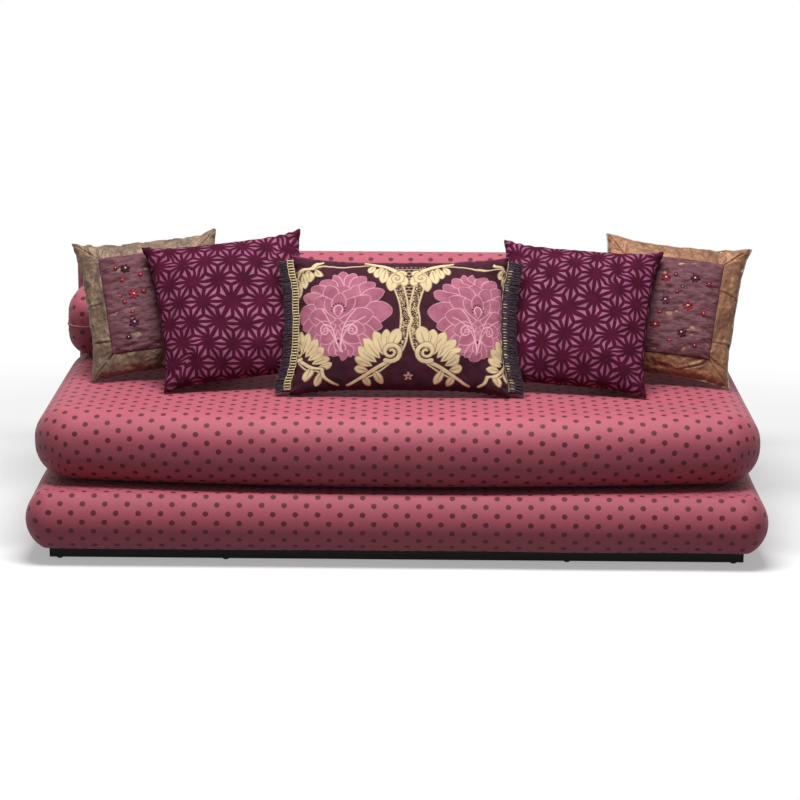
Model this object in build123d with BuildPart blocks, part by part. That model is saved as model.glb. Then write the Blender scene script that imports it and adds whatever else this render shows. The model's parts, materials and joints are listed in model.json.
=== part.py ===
"""Majlis floor sofa: a recessed plinth, a padded base, a bolted-on padded back, a loose seat
mattress, a long bolster and five scatter cushions. Millimetres, X across the sofa, Y from the
sitter's feet to the back, Z up, with the origin on the floor under the middle of the sofa."""

import os
from math import cos, radians, sin, sqrt

from build123d import *

os.makedirs("parts", exist_ok=True)

# Whole sofa
sofa_depth = 1075
cloth = 3
soft_gap = 0.3
overrun = 5
front_y = -sofa_depth / 2
rear_y = sofa_depth / 2

# Padded base
base_width = 1950
base_bottom = 40
base_top = 195
base_swell = 40
base_corner = 33
frame_inset = 48
rail_thick = 28
rail_housing = 6
bearer_spread = 450
bearer_count = 3
corner_block = 60
deck_thick = 12
deck_pad_thick = 15
hem_width = 60

# Plinth
plinth_end_set = 60
plinth_front_set = 90
plinth_rear_set = 40
plinth_board = 18
plinth_block = 50
glide_radius = 8
glide_height = 4
glide_edge = 1
glide_nail_radius = 1.5
glide_nail_length = 14

# Plinth screws
screw_radius = 2.5
screw_head_radius = 4.75
screw_head_height = 3
screw_bite = 32
screw_play = 0.2
block_screw_inset = 14.5
cross_screw_inset = 160

# Padded back
back_end_set = 25
back_height = 655
back_thick = 110
back_round = 40
back_pad_front = 30
back_pad_top = 30
back_pad_end = 20
back_pad_rear = 6
back_panel_thick = 6
back_post = 45
back_rail_height = 45
upright_width = 45
upright_depth = 45

# Bolts that hold the back on the deck
bolt_radius = 4
bolt_play = 0.5
bolt_head_radius = 7.5
bolt_head_sides = 6
bolt_head_height = 5.5
bolt_from_panel = 25
bolt_end = 6
washer_radius = 12
washer_thick = 1.6
tee_flange_radius = 11
tee_flange_thick = 1.5
tee_barrel_radius = 5.5
tee_barrel_length = 9

# Seat mattress
seat_end_set = 12.5
seat_shift = 12
seat_top = 392
seat_front_set = 24
seat_bow = 75
seat_corner = 115
seat_rear_gap = 10
seat_upper_round = 85
seat_lower_round = 95

# Zips of the seat and the bolster
zip_tape_width = 7
zip_tape_thick = 2.4
zip_coil_width = 4
zip_coil_height = 1.2
zip_slider_length = 14
zip_slider_width = 9
zip_slider_thick = 3.2
zip_slider_round = 3
zip_pull_length = 26
zip_pull_width = 6
zip_pull_thick = 1.6
zip_pull_round = 2
zip_pull_lap = 3.5
zip_play = 0.3
seat_zip_inset = 212.5
bolster_zip_inset = 310

# Bolster
bolster_end_set = 15
bolster_depth = 235
bolster_height = 188
bolster_round = 85
bolster_end_round = 55
piping_radius = 3.5
piping_sides = 8
piping_sink = 0.5

# Scatter cushions: the outline shrinks and its sides swell from the seam to the crown
crown_shares = (0, 0.42, 0.78, 0.96, 1)
reach_shares = (1, 0.93, 0.76, 0.48, 0.22)
swell_shares = (-0.035, 0.01, 0.04, 0.05, 0.04)
corner_shares = (0.06, 0.16, 0.26, 0.24, 0.1)
panel_cloth = 2
seam_allowance = 4

velvet_size = 450
velvet_crown = 50
left_velvet_x = -412
left_velvet_y = -176
left_velvet_yaw = 7
left_velvet_lean = 37.5
left_velvet_roll = 6.5
right_velvet_x = 447
right_velvet_y = -194
right_velvet_yaw = -8
right_velvet_lean = 38.5
right_velvet_roll = -3

brocade_size = 410
brocade_crown = 48
brocade_border = 66
left_brocade_x = -643
left_brocade_y = -50
left_brocade_yaw = 12
left_brocade_roll = 4.5
right_brocade_x = 706
right_brocade_y = -66
right_brocade_yaw = -11
right_brocade_roll = -4.5
brocade_lean = 30

lumbar_width = 600
lumbar_height = 400
lumbar_crown = 46
lumbar_x = 4
lumbar_y = -235
lumbar_lean = 30
braid_width = 20
braid_thick = 4
fringe_width = 38
fringe_thick = 12

# Lengths and places that follow from the sizes above
plinth_width = base_width - 2 * plinth_end_set
back_width = base_width - 2 * back_end_set
seat_width = base_width - 2 * seat_end_set
seat_zip_length = seat_width - 2 * seat_zip_inset
bolster_length = base_width - 2 * bolster_end_set
bolster_zip_length = bolster_length - 2 * bolster_zip_inset
frame_half = base_width / 2 - frame_inset
frame_front = front_y + frame_inset
frame_rear = rear_y - cloth
frame_bottom = base_bottom + cloth
frame_corner = base_corner - (frame_inset - base_swell)
deck_bottom = base_top - cloth - deck_pad_thick - deck_thick
deck_top = deck_bottom + deck_thick
back_front = rear_y - back_thick
seat_bottom = base_top + soft_gap
seat_rear = back_front - seat_rear_gap
cushion_floor = seat_top + soft_gap
bearer_places = [bearer_spread * (i - (bearer_count - 1) / 2) for i in range(bearer_count)]
plinth_front = front_y + plinth_front_set
plinth_rear = rear_y - plinth_rear_set
plinth_half = plinth_width / 2
bolt_spreads = (bearer_spread / 2, (bearer_spread + frame_half) / 2)


def base_bulge_radius():
    """Radius of the arc that the base's side follows from its underside to its top."""
    half_height = (base_top - base_bottom) / 2
    return (half_height**2 + base_swell**2) / (2 * base_swell)


def base_form(inset):
    """The padded base: its front and both ends swell, its rear is flat."""
    path_half = base_width / 2 - base_swell
    path_front = front_y + base_swell
    middle = (base_top + base_bottom) / 2
    half_height = (base_top - base_bottom) / 2 - inset
    radius = base_bulge_radius()
    edge = sqrt((radius - inset) ** 2 - half_height**2) - (radius - base_swell)
    rear = rear_y - inset
    with BuildPart() as form:
        with BuildLine() as route:
            FilletPolyline(
                (-path_half, rear, middle),
                (-path_half, path_front, middle),
                (path_half, path_front, middle),
                (path_half, rear, middle),
                radius=base_corner,
            )
        profile_plane = Plane(origin=(-path_half, rear, middle), x_dir=(-1, 0, 0), z_dir=(0, -1, 0))
        with BuildSketch(profile_plane):
            with BuildLine():
                ThreePointArc((edge, -half_height), (base_swell - inset, 0), (edge, half_height))
                Line((edge, half_height), (-overrun, half_height))
                Line((-overrun, half_height), (-overrun, -half_height))
                Line((-overrun, -half_height), (edge, -half_height))
            make_face()
        sweep(path=route.line)
        with BuildSketch(Plane.XY.offset(middle - half_height)) as core:
            with Locations((0, (path_front + rear) / 2)):
                Rectangle(2 * path_half, rear - path_front)
            fillet(core.vertices().group_by(Axis.Y)[0], radius=base_corner)
        extrude(amount=2 * half_height)
        with Locations((0, back_front, deck_top)):
            Box(
                base_width + overrun,
                back_thick + overrun,
                base_top,
                align=(Align.CENTER, Align.MIN, Align.MIN),
                mode=Mode.SUBTRACT,
            )
    return form.part


def back_form(inset):
    """The padded back, with all its edges rounded but the lowest."""
    with BuildPart() as form:
        with BuildSketch(Plane.XY.offset(deck_top)):
            with Locations((0, rear_y - back_thick / 2)):
                Rectangle(back_width - 2 * inset, back_thick - 2 * inset)
        extrude(amount=back_height - deck_top - inset)
        rounded = form.edges().group_by(Axis.Z)[1:]
        fillet([edge for group in rounded for edge in group], radius=back_round - inset)
    return form.part


def seat_form(inset):
    """The seat mattress: a bowed front, round corners and full round edges."""
    half = seat_width / 2 - inset
    front = front_y + seat_front_set + inset
    rear = seat_rear - inset
    with BuildPart() as form:
        with BuildSketch(Plane.XY.offset(seat_bottom + inset)) as plan:
            with Locations((seat_shift, 0)):
                with BuildLine():
                    ThreePointArc((-half, front + seat_bow), (0, front), (half, front + seat_bow))
                    Line((half, front + seat_bow), (half, rear))
                    Line((half, rear), (-half, rear))
                    Line((-half, rear), (-half, front + seat_bow))
                make_face()
            fillet(plan.vertices(), radius=seat_corner - inset)
        extrude(amount=seat_top - seat_bottom - 2 * inset)
        fillet(form.faces().sort_by(Axis.Z)[-1].edges(), radius=seat_upper_round - inset)
        fillet(form.faces().sort_by(Axis.Z)[0].edges(), radius=seat_lower_round - inset)
    return form.part


def bolster_form(inset):
    """The long bolster, flat only where its rounded section meets the seat and the back."""
    middle_y = back_front - soft_gap - bolster_depth / 2
    middle_z = cushion_floor + bolster_height / 2
    section_plane = Plane(
        origin=(-bolster_length / 2 + inset, middle_y, middle_z), x_dir=(0, 1, 0), z_dir=(1, 0, 0)
    )
    with BuildPart() as form:
        with BuildSketch(section_plane):
            RectangleRounded(
                bolster_depth - 2 * inset, bolster_height - 2 * inset, bolster_round - inset
            )
        extrude(amount=bolster_length - 2 * inset)
        ends = form.faces().sort_by(Axis.X)
        fillet([*ends[0].edges(), *ends[-1].edges()], radius=bolster_end_round - inset)
    return form.part


def cushion_plane(x, y, size, lean, yaw, roll):
    """The seam plane of a cushion that leans back and whose lowest point just clears the seat. Its
    origin is the cushion's middle, its Y runs up the cushion and its Z points to the sitter. The
    size is the cushion's width, height and crown."""
    across = Vector(1, 0, 0)
    up = Vector(0, sin(radians(lean)), cos(radians(lean)))
    turn = radians(roll)
    right = (across * cos(turn) + up * sin(turn)).rotate(Axis.Z, yaw)
    top = (up * cos(turn) - across * sin(turn)).rotate(Axis.Z, yaw)
    level = Plane(
        origin=Vector(x, y, seat_top) + top * (size[1] / 2), x_dir=right, z_dir=right.cross(top)
    )
    halves = [pillow_half(level, size, side, 0).bounding_box().min.Z for side in (1, -1)]
    rise = Vector(0, 0, cushion_floor - min(halves))
    return Plane(origin=level.origin + rise, x_dir=level.x_dir, z_dir=level.z_dir)


def pillow_half(plane, size, side, inset):
    """Half a cushion, from the seam plane to the crown, on the front (1) or the rear (-1)."""
    width, height, crown = size
    smaller = min(width, height) / 2
    allowance = seam_allowance if inset else 0
    shares = zip(crown_shares, reach_shares, swell_shares, corner_shares)
    with BuildPart() as half:
        for crown_share, reach_share, swell_share, corner_share in shares:
            a = (width / 2 - allowance) * reach_share
            b = (height / 2 - allowance) * reach_share
            swell = smaller * swell_share
            with BuildSketch(plane.offset(side * (crown - inset) * crown_share)) as level:
                with BuildLine():
                    ThreePointArc((-a, -b), (0, -b - swell), (a, -b))
                    ThreePointArc((a, -b), (a + swell, 0), (a, b))
                    ThreePointArc((a, b), (0, b + swell), (-a, b))
                    ThreePointArc((-a, b), (-a - swell, 0), (-a, -b))
                make_face()
                fillet(level.vertices(), radius=smaller * corner_share)
        loft()
    return half.part


def upright_cylinder(places, radius, bottom, top):
    """One upright cylinder at each place."""
    with BuildPart() as cylinders:
        with Locations([(x, y, bottom) for x, y in places]):
            Cylinder(radius, top - bottom, align=(Align.CENTER, Align.CENTER, Align.MIN))
    return cylinders.part


# Places of the plinth's screws: four through its corner blocks, the rest through its cross boards
block_screw_x = plinth_half - plinth_board - plinth_block / 2
block_screw_front = plinth_front + plinth_board + block_screw_inset
block_screw_rear = plinth_rear - plinth_board - block_screw_inset
block_screws = [(side * block_screw_x, y) for side in (-1, 1) for y in (block_screw_front, block_screw_rear)]
cross_screws = [
    (x, y)
    for x in bearer_places
    for y in (plinth_front + cross_screw_inset, plinth_rear - cross_screw_inset)
]
screw_places = block_screws + cross_screws
screw_top = base_bottom + cloth + screw_bite
screw_holes = upright_cylinder(screw_places, screw_radius + screw_play, 0, screw_top + screw_play)
screw_seats = upright_cylinder(
    screw_places, screw_head_radius + screw_play, 0, glide_height + screw_head_height
)
glide_rows = (plinth_front + plinth_board / 2, plinth_rear - plinth_board / 2)
glide_columns = [-plinth_half + plinth_board + glide_radius, *bearer_places[::2]]
glide_columns.append(plinth_half - plinth_board - glide_radius)
glide_places = [(x, y) for x in glide_columns for y in glide_rows]
glide_holes = upright_cylinder(
    glide_places, glide_nail_radius + screw_play, glide_height, glide_height + glide_nail_length
)

# Plinth boards, black painted, set back under the base
with BuildPart() as plinth_front_board:
    with BuildSketch(Plane.XY.offset(glide_height)):
        with Locations((0, plinth_front + plinth_board / 2)):
            Rectangle(plinth_width, plinth_board)
    extrude(amount=base_bottom - glide_height)
    add(glide_holes, mode=Mode.SUBTRACT)
plinth_front_board.part.label = "plinth_front_board"
export_step(plinth_front_board.part, "parts/plinth_front_board.step")

with BuildPart() as plinth_rear_board:
    with BuildSketch(Plane.XY.offset(glide_height)):
        with Locations((0, plinth_rear - plinth_board / 2)):
            Rectangle(plinth_width, plinth_board)
    extrude(amount=base_bottom - glide_height)
    add(glide_holes, mode=Mode.SUBTRACT)
plinth_rear_board.part.label = "plinth_rear_board"
export_step(plinth_rear_board.part, "parts/plinth_rear_board.step")

plinth_inner_depth = plinth_rear - plinth_front - 2 * plinth_board
plinth_middle_y = (plinth_rear + plinth_front) / 2

with BuildPart() as plinth_end_boards:
    with BuildSketch(Plane.XY.offset(glide_height)):
        with GridLocations(plinth_width - plinth_board, 0, 2, 1):
            with Locations((0, plinth_middle_y)):
                Rectangle(plinth_board, plinth_inner_depth)
    extrude(amount=base_bottom - glide_height)
plinth_end_boards.part.label = "plinth_end_boards"
export_step(plinth_end_boards.part, "parts/plinth_end_boards.step")

with BuildPart() as plinth_cross_boards:
    with BuildSketch(Plane.XY.offset(glide_height)):
        with Locations([(x, plinth_middle_y) for x in bearer_places]):
            Rectangle(plinth_board, plinth_inner_depth)
    extrude(amount=base_bottom - glide_height)
    add(screw_holes, mode=Mode.SUBTRACT)
    add(screw_seats, mode=Mode.SUBTRACT)
plinth_cross_boards.part.label = "plinth_cross_boards"
export_step(plinth_cross_boards.part, "parts/plinth_cross_boards.step")

with BuildPart() as plinth_corner_blocks:
    with BuildSketch(Plane.XY.offset(glide_height)):
        with Locations((0, plinth_middle_y)):
            with GridLocations(
                plinth_width - 2 * plinth_board - plinth_block, plinth_inner_depth - plinth_block, 2, 2
            ):
                Rectangle(plinth_block, plinth_block)
    extrude(amount=base_bottom - glide_height)
    add(screw_holes, mode=Mode.SUBTRACT)
    add(screw_seats, mode=Mode.SUBTRACT)
plinth_corner_blocks.part.label = "plinth_corner_blocks"
export_step(plinth_corner_blocks.part, "parts/plinth_corner_blocks.step")

# Screws up through the plinth into the base's bearers and corner blocks
with BuildPart() as plinth_screws:
    with Locations([(x, y, glide_height) for x, y in screw_places]):
        Cylinder(
            screw_head_radius, screw_head_height, align=(Align.CENTER, Align.CENTER, Align.MIN)
        )
        Cylinder(
            screw_radius, screw_top - glide_height, align=(Align.CENTER, Align.CENTER, Align.MIN)
        )
plinth_screws.part.label = "plinth_screws"
export_step(plinth_screws.part, "parts/plinth_screws.step")

# Nail-on glides that the sofa stands on
with BuildPart() as floor_glides:
    with Locations([(x, y, 0) for x, y in glide_places]):
        Cylinder(glide_radius, glide_height, align=(Align.CENTER, Align.CENTER, Align.MIN))
        Cylinder(
            glide_nail_radius,
            glide_height + glide_nail_length,
            align=(Align.CENTER, Align.CENTER, Align.MIN),
        )
    chamfer(floor_glides.faces().group_by(Axis.Z)[0].edges(), length=glide_edge)
floor_glides.part.label = "floor_glides"
export_step(floor_glides.part, "parts/floor_glides.step")

# Timber frame of the base: the bearers are housed in the long rails
rail_height = deck_bottom - frame_bottom
bearer_front = frame_front + rail_thick - rail_housing
bearer_rear = frame_rear - rail_thick + rail_housing
with BuildPart() as base_cross_bearers:
    with BuildSketch(Plane.XY.offset(frame_bottom)):
        with Locations([(x, (bearer_front + bearer_rear) / 2) for x in bearer_places]):
            Rectangle(rail_thick, bearer_rear - bearer_front)
    extrude(amount=rail_height)
    add(screw_holes, mode=Mode.SUBTRACT)
base_cross_bearers.part.label = "base_cross_bearers"
export_step(base_cross_bearers.part, "parts/base_cross_bearers.step")

with BuildPart() as base_front_rail:
    with BuildSketch(Plane.XY.offset(frame_bottom)) as front_rail_plan:
        with Locations((0, frame_front + rail_thick / 2)):
            Rectangle(2 * frame_half, rail_thick)
        fillet(front_rail_plan.vertices().group_by(Axis.Y)[0], radius=frame_corner)
    extrude(amount=rail_height)
    add(base_cross_bearers.part, mode=Mode.SUBTRACT)
base_front_rail.part.label = "base_front_rail"
export_step(base_front_rail.part, "parts/base_front_rail.step")

with BuildPart() as base_rear_rail:
    with BuildSketch(Plane.XY.offset(frame_bottom)):
        with Locations((0, frame_rear - rail_thick / 2)):
            Rectangle(2 * frame_half, rail_thick)
    extrude(amount=rail_height)
    add(base_cross_bearers.part, mode=Mode.SUBTRACT)
base_rear_rail.part.label = "base_rear_rail"
export_step(base_rear_rail.part, "parts/base_rear_rail.step")

frame_middle_y = (frame_front + frame_rear) / 2
frame_inner_depth = frame_rear - frame_front - 2 * rail_thick
with BuildPart() as base_end_rails:
    with BuildSketch(Plane.XY.offset(frame_bottom)):
        with Locations((0, frame_middle_y)):
            with GridLocations(2 * frame_half - rail_thick, 0, 2, 1):
                Rectangle(rail_thick, frame_inner_depth)
    extrude(amount=rail_height)
base_end_rails.part.label = "base_end_rails"
export_step(base_end_rails.part, "parts/base_end_rails.step")

with BuildPart() as base_corner_blocks:
    with BuildSketch(Plane.XY.offset(frame_bottom)):
        with Locations((0, frame_middle_y)):
            with GridLocations(
                2 * (frame_half - rail_thick) - corner_block, frame_inner_depth - corner_block, 2, 2
            ):
                Rectangle(corner_block, corner_block)
    extrude(amount=rail_height)
    add(screw_holes, mode=Mode.SUBTRACT)
base_corner_blocks.part.label = "base_corner_blocks"
export_step(base_corner_blocks.part, "parts/base_corner_blocks.step")

# Bolts that pull the back down on the deck
bolt_y = back_front + cloth + back_pad_front + back_panel_thick + bolt_from_panel
bolt_places = [(side * spread, bolt_y) for side in (-1, 1) for spread in bolt_spreads]
back_rail_top = deck_top + back_rail_height
bolt_holes = upright_cylinder(bolt_places, bolt_radius + bolt_play, deck_bottom, back_rail_top)
tee_seats = upright_cylinder(
    bolt_places, tee_barrel_radius, back_rail_top - tee_barrel_length, back_rail_top
)
with BuildPart() as back_bolts:
    with Locations([(x, y, deck_bottom - washer_thick) for x, y in bolt_places]):
        Cylinder(
            bolt_radius,
            back_rail_top - deck_bottom + washer_thick + bolt_end,
            align=(Align.CENTER, Align.CENTER, Align.MIN),
        )
    with BuildSketch(Plane.XY.offset(deck_bottom - washer_thick)):
        with Locations(bolt_places):
            RegularPolygon(bolt_head_radius, bolt_head_sides)
    extrude(amount=-bolt_head_height)
back_bolts.part.label = "back_bolts"
export_step(back_bolts.part, "parts/back_bolts.step")

with BuildPart() as back_bolt_washers:
    with BuildSketch(Plane.XY.offset(deck_bottom - washer_thick)):
        with Locations(bolt_places):
            Circle(washer_radius)
            Circle(bolt_radius, mode=Mode.SUBTRACT)
    extrude(amount=washer_thick)
back_bolt_washers.part.label = "back_bolt_washers"
export_step(back_bolt_washers.part, "parts/back_bolt_washers.step")

with BuildPart() as back_tee_nuts:
    with BuildSketch(Plane.XY.offset(back_rail_top)):
        with Locations(bolt_places):
            Circle(tee_flange_radius)
    extrude(amount=tee_flange_thick)
    add(tee_seats)
    add(
        upright_cylinder(
            bolt_places,
            bolt_radius,
            back_rail_top - tee_barrel_length - overrun,
            back_rail_top + tee_flange_thick + overrun,
        ),
        mode=Mode.SUBTRACT,
    )
back_tee_nuts.part.label = "back_tee_nuts"
export_step(back_tee_nuts.part, "parts/back_tee_nuts.step")

# Plywood deck under the seat and the back
with BuildPart() as seat_deck:
    with BuildSketch(Plane.XY.offset(deck_bottom)) as deck_plan:
        with Locations((0, frame_middle_y)):
            Rectangle(2 * frame_half, frame_rear - frame_front)
        fillet(deck_plan.vertices().group_by(Axis.Y)[0], radius=frame_corner)
    extrude(amount=deck_thick)
    add(bolt_holes, mode=Mode.SUBTRACT)
seat_deck.part.label = "seat_deck"
export_step(seat_deck.part, "parts/seat_deck.step")

# Foam round the frame: a pad on the deck, and rolls that give the base its swelling sides
base_outer = base_form(0)
base_foam = base_form(cloth)
foam_top = base_top - cloth
with BuildPart() as deck_pad:
    with BuildSketch(Plane.XY.offset(deck_top)) as pad_plan:
        with Locations((0, (frame_front + back_front) / 2)):
            Rectangle(2 * frame_half, back_front - frame_front)
        fillet(pad_plan.vertices().group_by(Axis.Y)[0], radius=frame_corner)
    extrude(amount=foam_top - deck_top)
deck_pad.part.label = "deck_pad"
export_step(deck_pad.part, "parts/deck_pad.step")

with BuildPart() as base_front_roll:
    add(base_foam)
    split(bisect_by=Plane.XZ.offset(-frame_front), keep=Keep.TOP)
base_front_roll.part.label = "base_front_roll"
export_step(base_front_roll.part, "parts/base_front_roll.step")

for side_name, side in (("left", -1), ("right", 1)):
    with BuildPart() as base_end_roll:
        add(base_foam)
        split(bisect_by=Plane.XZ.offset(-frame_front), keep=Keep.BOTTOM)
        split(bisect_by=Plane.YZ.offset(side * frame_half), keep=Keep.TOP if side > 0 else Keep.BOTTOM)
    base_end_roll.part.label = f"base_{side_name}_roll"
    export_step(base_end_roll.part, f"parts/base_{side_name}_roll.step")

# The base's cloth, turned under the rails all round, and the dust cover inside its hem
hem_half = frame_half - hem_width
hem_depth = frame_rear - frame_front - 2 * hem_width
with BuildPart() as base_dust_cover:
    with BuildSketch(Plane.XY.offset(base_bottom)):
        with Locations((0, frame_middle_y)):
            Rectangle(2 * hem_half, hem_depth)
    extrude(amount=cloth)
    add(screw_holes, mode=Mode.SUBTRACT)
base_dust_cover.part.label = "base_dust_cover"
export_step(base_dust_cover.part, "parts/base_dust_cover.step")

with BuildPart() as base_cover:
    add(base_outer)
    add(base_foam, mode=Mode.SUBTRACT)
    with BuildSketch(Plane.XY.offset(base_bottom)):
        with Locations((0, frame_middle_y)):
            Rectangle(2 * hem_half, hem_depth)
    extrude(amount=cloth, mode=Mode.SUBTRACT)
    add(screw_holes, mode=Mode.SUBTRACT)
base_cover.part.label = "base_cover"
export_step(base_cover.part, "parts/base_cover.step")

# Timber frame of the back
back_frame_half = back_width / 2 - cloth - back_pad_end
back_frame_front = back_front + cloth + back_pad_front + back_panel_thick
back_frame_rear = rear_y - cloth - back_pad_rear
back_frame_depth = back_frame_rear - back_frame_front
back_frame_middle = (back_frame_rear + back_frame_front) / 2
back_frame_top = back_height - cloth - back_pad_top
back_inner_width = 2 * (back_frame_half - back_post)
with BuildPart() as back_end_posts:
    with BuildSketch(Plane.XY.offset(deck_top)):
        with Locations((0, back_frame_middle)):
            with GridLocations(2 * back_frame_half - back_post, 0, 2, 1):
                Rectangle(back_post, back_frame_depth)
    extrude(amount=back_frame_top - deck_top)
back_end_posts.part.label = "back_end_posts"
export_step(back_end_posts.part, "parts/back_end_posts.step")

with BuildPart() as back_bottom_rail:
    with BuildSketch(Plane.XY.offset(deck_top)):
        with Locations((0, back_frame_middle)):
            Rectangle(back_inner_width, back_frame_depth)
    extrude(amount=back_rail_height)
    add(bolt_holes, mode=Mode.SUBTRACT)
    add(tee_seats, mode=Mode.SUBTRACT)
back_bottom_rail.part.label = "back_bottom_rail"
export_step(back_bottom_rail.part, "parts/back_bottom_rail.step")

with BuildPart() as back_top_rail:
    with BuildSketch(Plane.XY.offset(back_frame_top)):
        with Locations((0, back_frame_middle)):
            Rectangle(back_inner_width, back_frame_depth)
    extrude(amount=-back_rail_height)
back_top_rail.part.label = "back_top_rail"
export_step(back_top_rail.part, "parts/back_top_rail.step")

with BuildPart() as back_uprights:
    with BuildSketch(Plane.XY.offset(back_rail_top)):
        with Locations([(x, back_frame_front + upright_depth / 2) for x in bearer_places]):
            Rectangle(upright_width, upright_depth)
    extrude(amount=back_frame_top - back_rail_height - back_rail_top)
back_uprights.part.label = "back_uprights"
export_step(back_uprights.part, "parts/back_uprights.step")

with BuildPart() as back_panel:
    with BuildSketch(Plane.XY.offset(deck_top)):
        with Locations((0, back_frame_front - back_panel_thick / 2)):
            Rectangle(2 * back_frame_half, back_panel_thick)
    extrude(amount=back_frame_top - deck_top)
back_panel.part.label = "back_panel"
export_step(back_panel.part, "parts/back_panel.step")

# Foam and cloth of the back
back_outer = back_form(0)
back_foam = back_form(cloth)
with BuildPart() as back_pad:
    add(back_foam)
    with BuildSketch(Plane.XY.offset(deck_top)):
        with Locations((0, back_frame_middle - back_panel_thick / 2)):
            Rectangle(2 * back_frame_half, back_frame_depth + back_panel_thick)
    extrude(amount=back_frame_top - deck_top, mode=Mode.SUBTRACT)
back_pad.part.label = "back_pad"
export_step(back_pad.part, "parts/back_pad.step")

with BuildPart() as back_cover:
    add(back_outer)
    add(back_foam, mode=Mode.SUBTRACT)
back_cover.part.label = "back_cover"
export_step(back_cover.part, "parts/back_cover.step")


def zip_bar(plane, length, width, bottom, top):
    """A bar along the zip, whose plane has X along the zip and Z out of the cloth."""
    with BuildPart() as bar:
        with BuildSketch(plane.offset(bottom)):
            Rectangle(length, width)
        extrude(amount=top - bottom)
    return bar.part


def slider_form(plane, zip_length):
    """The zip's slider at the closed end of the zip, with its pull lying along the zip."""
    start = zip_length / 2 - zip_slider_length
    body_bottom = zip_play
    body_top = body_bottom + zip_slider_thick
    tunnel_top = zip_coil_height + zip_play
    with BuildPart() as slider:
        with BuildSketch(plane.offset(body_bottom)) as outline:
            with Locations((start, 0)):
                Rectangle(zip_slider_length, zip_slider_width)
            fillet(outline.vertices(), radius=zip_slider_round)
        extrude(amount=zip_slider_thick)
        with BuildSketch(plane.offset(body_bottom)):
            with Locations((start, 0)):
                Rectangle(zip_slider_length, zip_coil_width + 2 * zip_play)
        extrude(amount=tunnel_top - body_bottom, mode=Mode.SUBTRACT)
        with BuildSketch(plane.offset(body_top)) as pull:
            with Locations((start - zip_pull_length / 2 + zip_pull_lap, 0)):
                Rectangle(zip_pull_length, zip_pull_width)
            fillet(pull.vertices(), radius=zip_pull_round)
        extrude(amount=zip_pull_thick)
    return slider.part


# Seat mattress: its zip runs along the middle of its rear
seat_flat_bottom = seat_bottom + seat_lower_round
seat_flat_top = seat_top - seat_upper_round
seat_zip_plane = Plane(
    origin=(seat_shift, seat_rear, (seat_flat_bottom + seat_flat_top) / 2),
    x_dir=(-1, 0, 0),
    z_dir=(0, 1, 0),
)
seat_outer = seat_form(0)
seat_slit = zip_bar(seat_zip_plane, seat_zip_length, zip_tape_width, -cloth - overrun, overrun)
with BuildPart() as seat_foam_core:
    add(seat_form(cloth))
seat_foam_core.part.label = "seat_foam_core"
export_step(seat_foam_core.part, "parts/seat_foam_core.step")

with BuildPart() as seat_cover:
    add(seat_outer)
    add(seat_foam_core.part, mode=Mode.SUBTRACT)
    add(seat_slit, mode=Mode.SUBTRACT)
seat_cover.part.label = "seat_cover"
export_step(seat_cover.part, "parts/seat_cover.step")

with BuildPart() as seat_zip:
    add(zip_bar(seat_zip_plane, seat_zip_length, zip_tape_width, -zip_tape_thick, 0))
    add(zip_bar(seat_zip_plane, seat_zip_length, zip_coil_width, 0, zip_coil_height))
seat_zip.part.label = "seat_zip"
export_step(seat_zip.part, "parts/seat_zip.step")

with BuildPart() as seat_zip_slider:
    add(slider_form(seat_zip_plane, seat_zip_length))
seat_zip_slider.part.label = "seat_zip_slider"
export_step(seat_zip_slider.part, "parts/seat_zip_slider.step")

# Bolster: its zip lies on its lower rear curve, in the corner of the seat and the back
bolster_rear = back_front - soft_gap
half_turn_share = sqrt(2) / 2
zip_corner_y = bolster_rear - bolster_round * (1 - half_turn_share)
zip_corner_z = cushion_floor + bolster_round * (1 - half_turn_share)
bolster_zip_plane = Plane(
    origin=(0, zip_corner_y, zip_corner_z), x_dir=(-1, 0, 0), z_dir=(0, 1, -1)
)
bolster_outer = bolster_form(0)
bolster_slit = zip_bar(bolster_zip_plane, bolster_zip_length, zip_tape_width, -cloth - overrun, overrun)
with BuildPart() as bolster_filling:
    add(bolster_form(cloth))
bolster_filling.part.label = "bolster_filling"
export_step(bolster_filling.part, "parts/bolster_filling.step")

with BuildPart() as bolster_cover:
    add(bolster_outer)
    add(bolster_filling.part, mode=Mode.SUBTRACT)
    add(bolster_slit, mode=Mode.SUBTRACT)
bolster_cover.part.label = "bolster_cover"
export_step(bolster_cover.part, "parts/bolster_cover.step")

with BuildPart() as bolster_zip:
    add(zip_bar(bolster_zip_plane, bolster_zip_length, zip_tape_width, -zip_tape_thick, 0))
    add(zip_bar(bolster_zip_plane, bolster_zip_length, zip_coil_width, 0, zip_coil_height))
bolster_zip.part.label = "bolster_zip"
export_step(bolster_zip.part, "parts/bolster_zip.step")

with BuildPart() as bolster_zip_slider:
    add(slider_form(bolster_zip_plane, bolster_zip_length))
bolster_zip_slider.part.label = "bolster_zip_slider"
export_step(bolster_zip_slider.part, "parts/bolster_zip_slider.step")

# Piping along the bolster's front seam and round its ends
piping_half = bolster_length / 2 + piping_sink
piping_front = bolster_rear - bolster_depth - piping_sink
piping_z = cushion_floor + bolster_height / 2
piping_start_y = bolster_rear - bolster_end_round
with BuildPart() as bolster_piping:
    with BuildLine() as piping_route:
        FilletPolyline(
            (-piping_half, piping_start_y, piping_z),
            (-piping_half, piping_front, piping_z),
            (piping_half, piping_front, piping_z),
            (piping_half, piping_start_y, piping_z),
            radius=bolster_end_round,
        )
    with BuildSketch(
        Plane(origin=(-piping_half, piping_start_y, piping_z), x_dir=(1, 0, 0), z_dir=(0, -1, 0))
    ):
        RegularPolygon(piping_radius, piping_sides)
    sweep(path=piping_route.line)
    add(bolster_outer, mode=Mode.SUBTRACT)
bolster_piping.part.label = "bolster_piping"
export_step(bolster_piping.part, "parts/bolster_piping.step")

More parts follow.
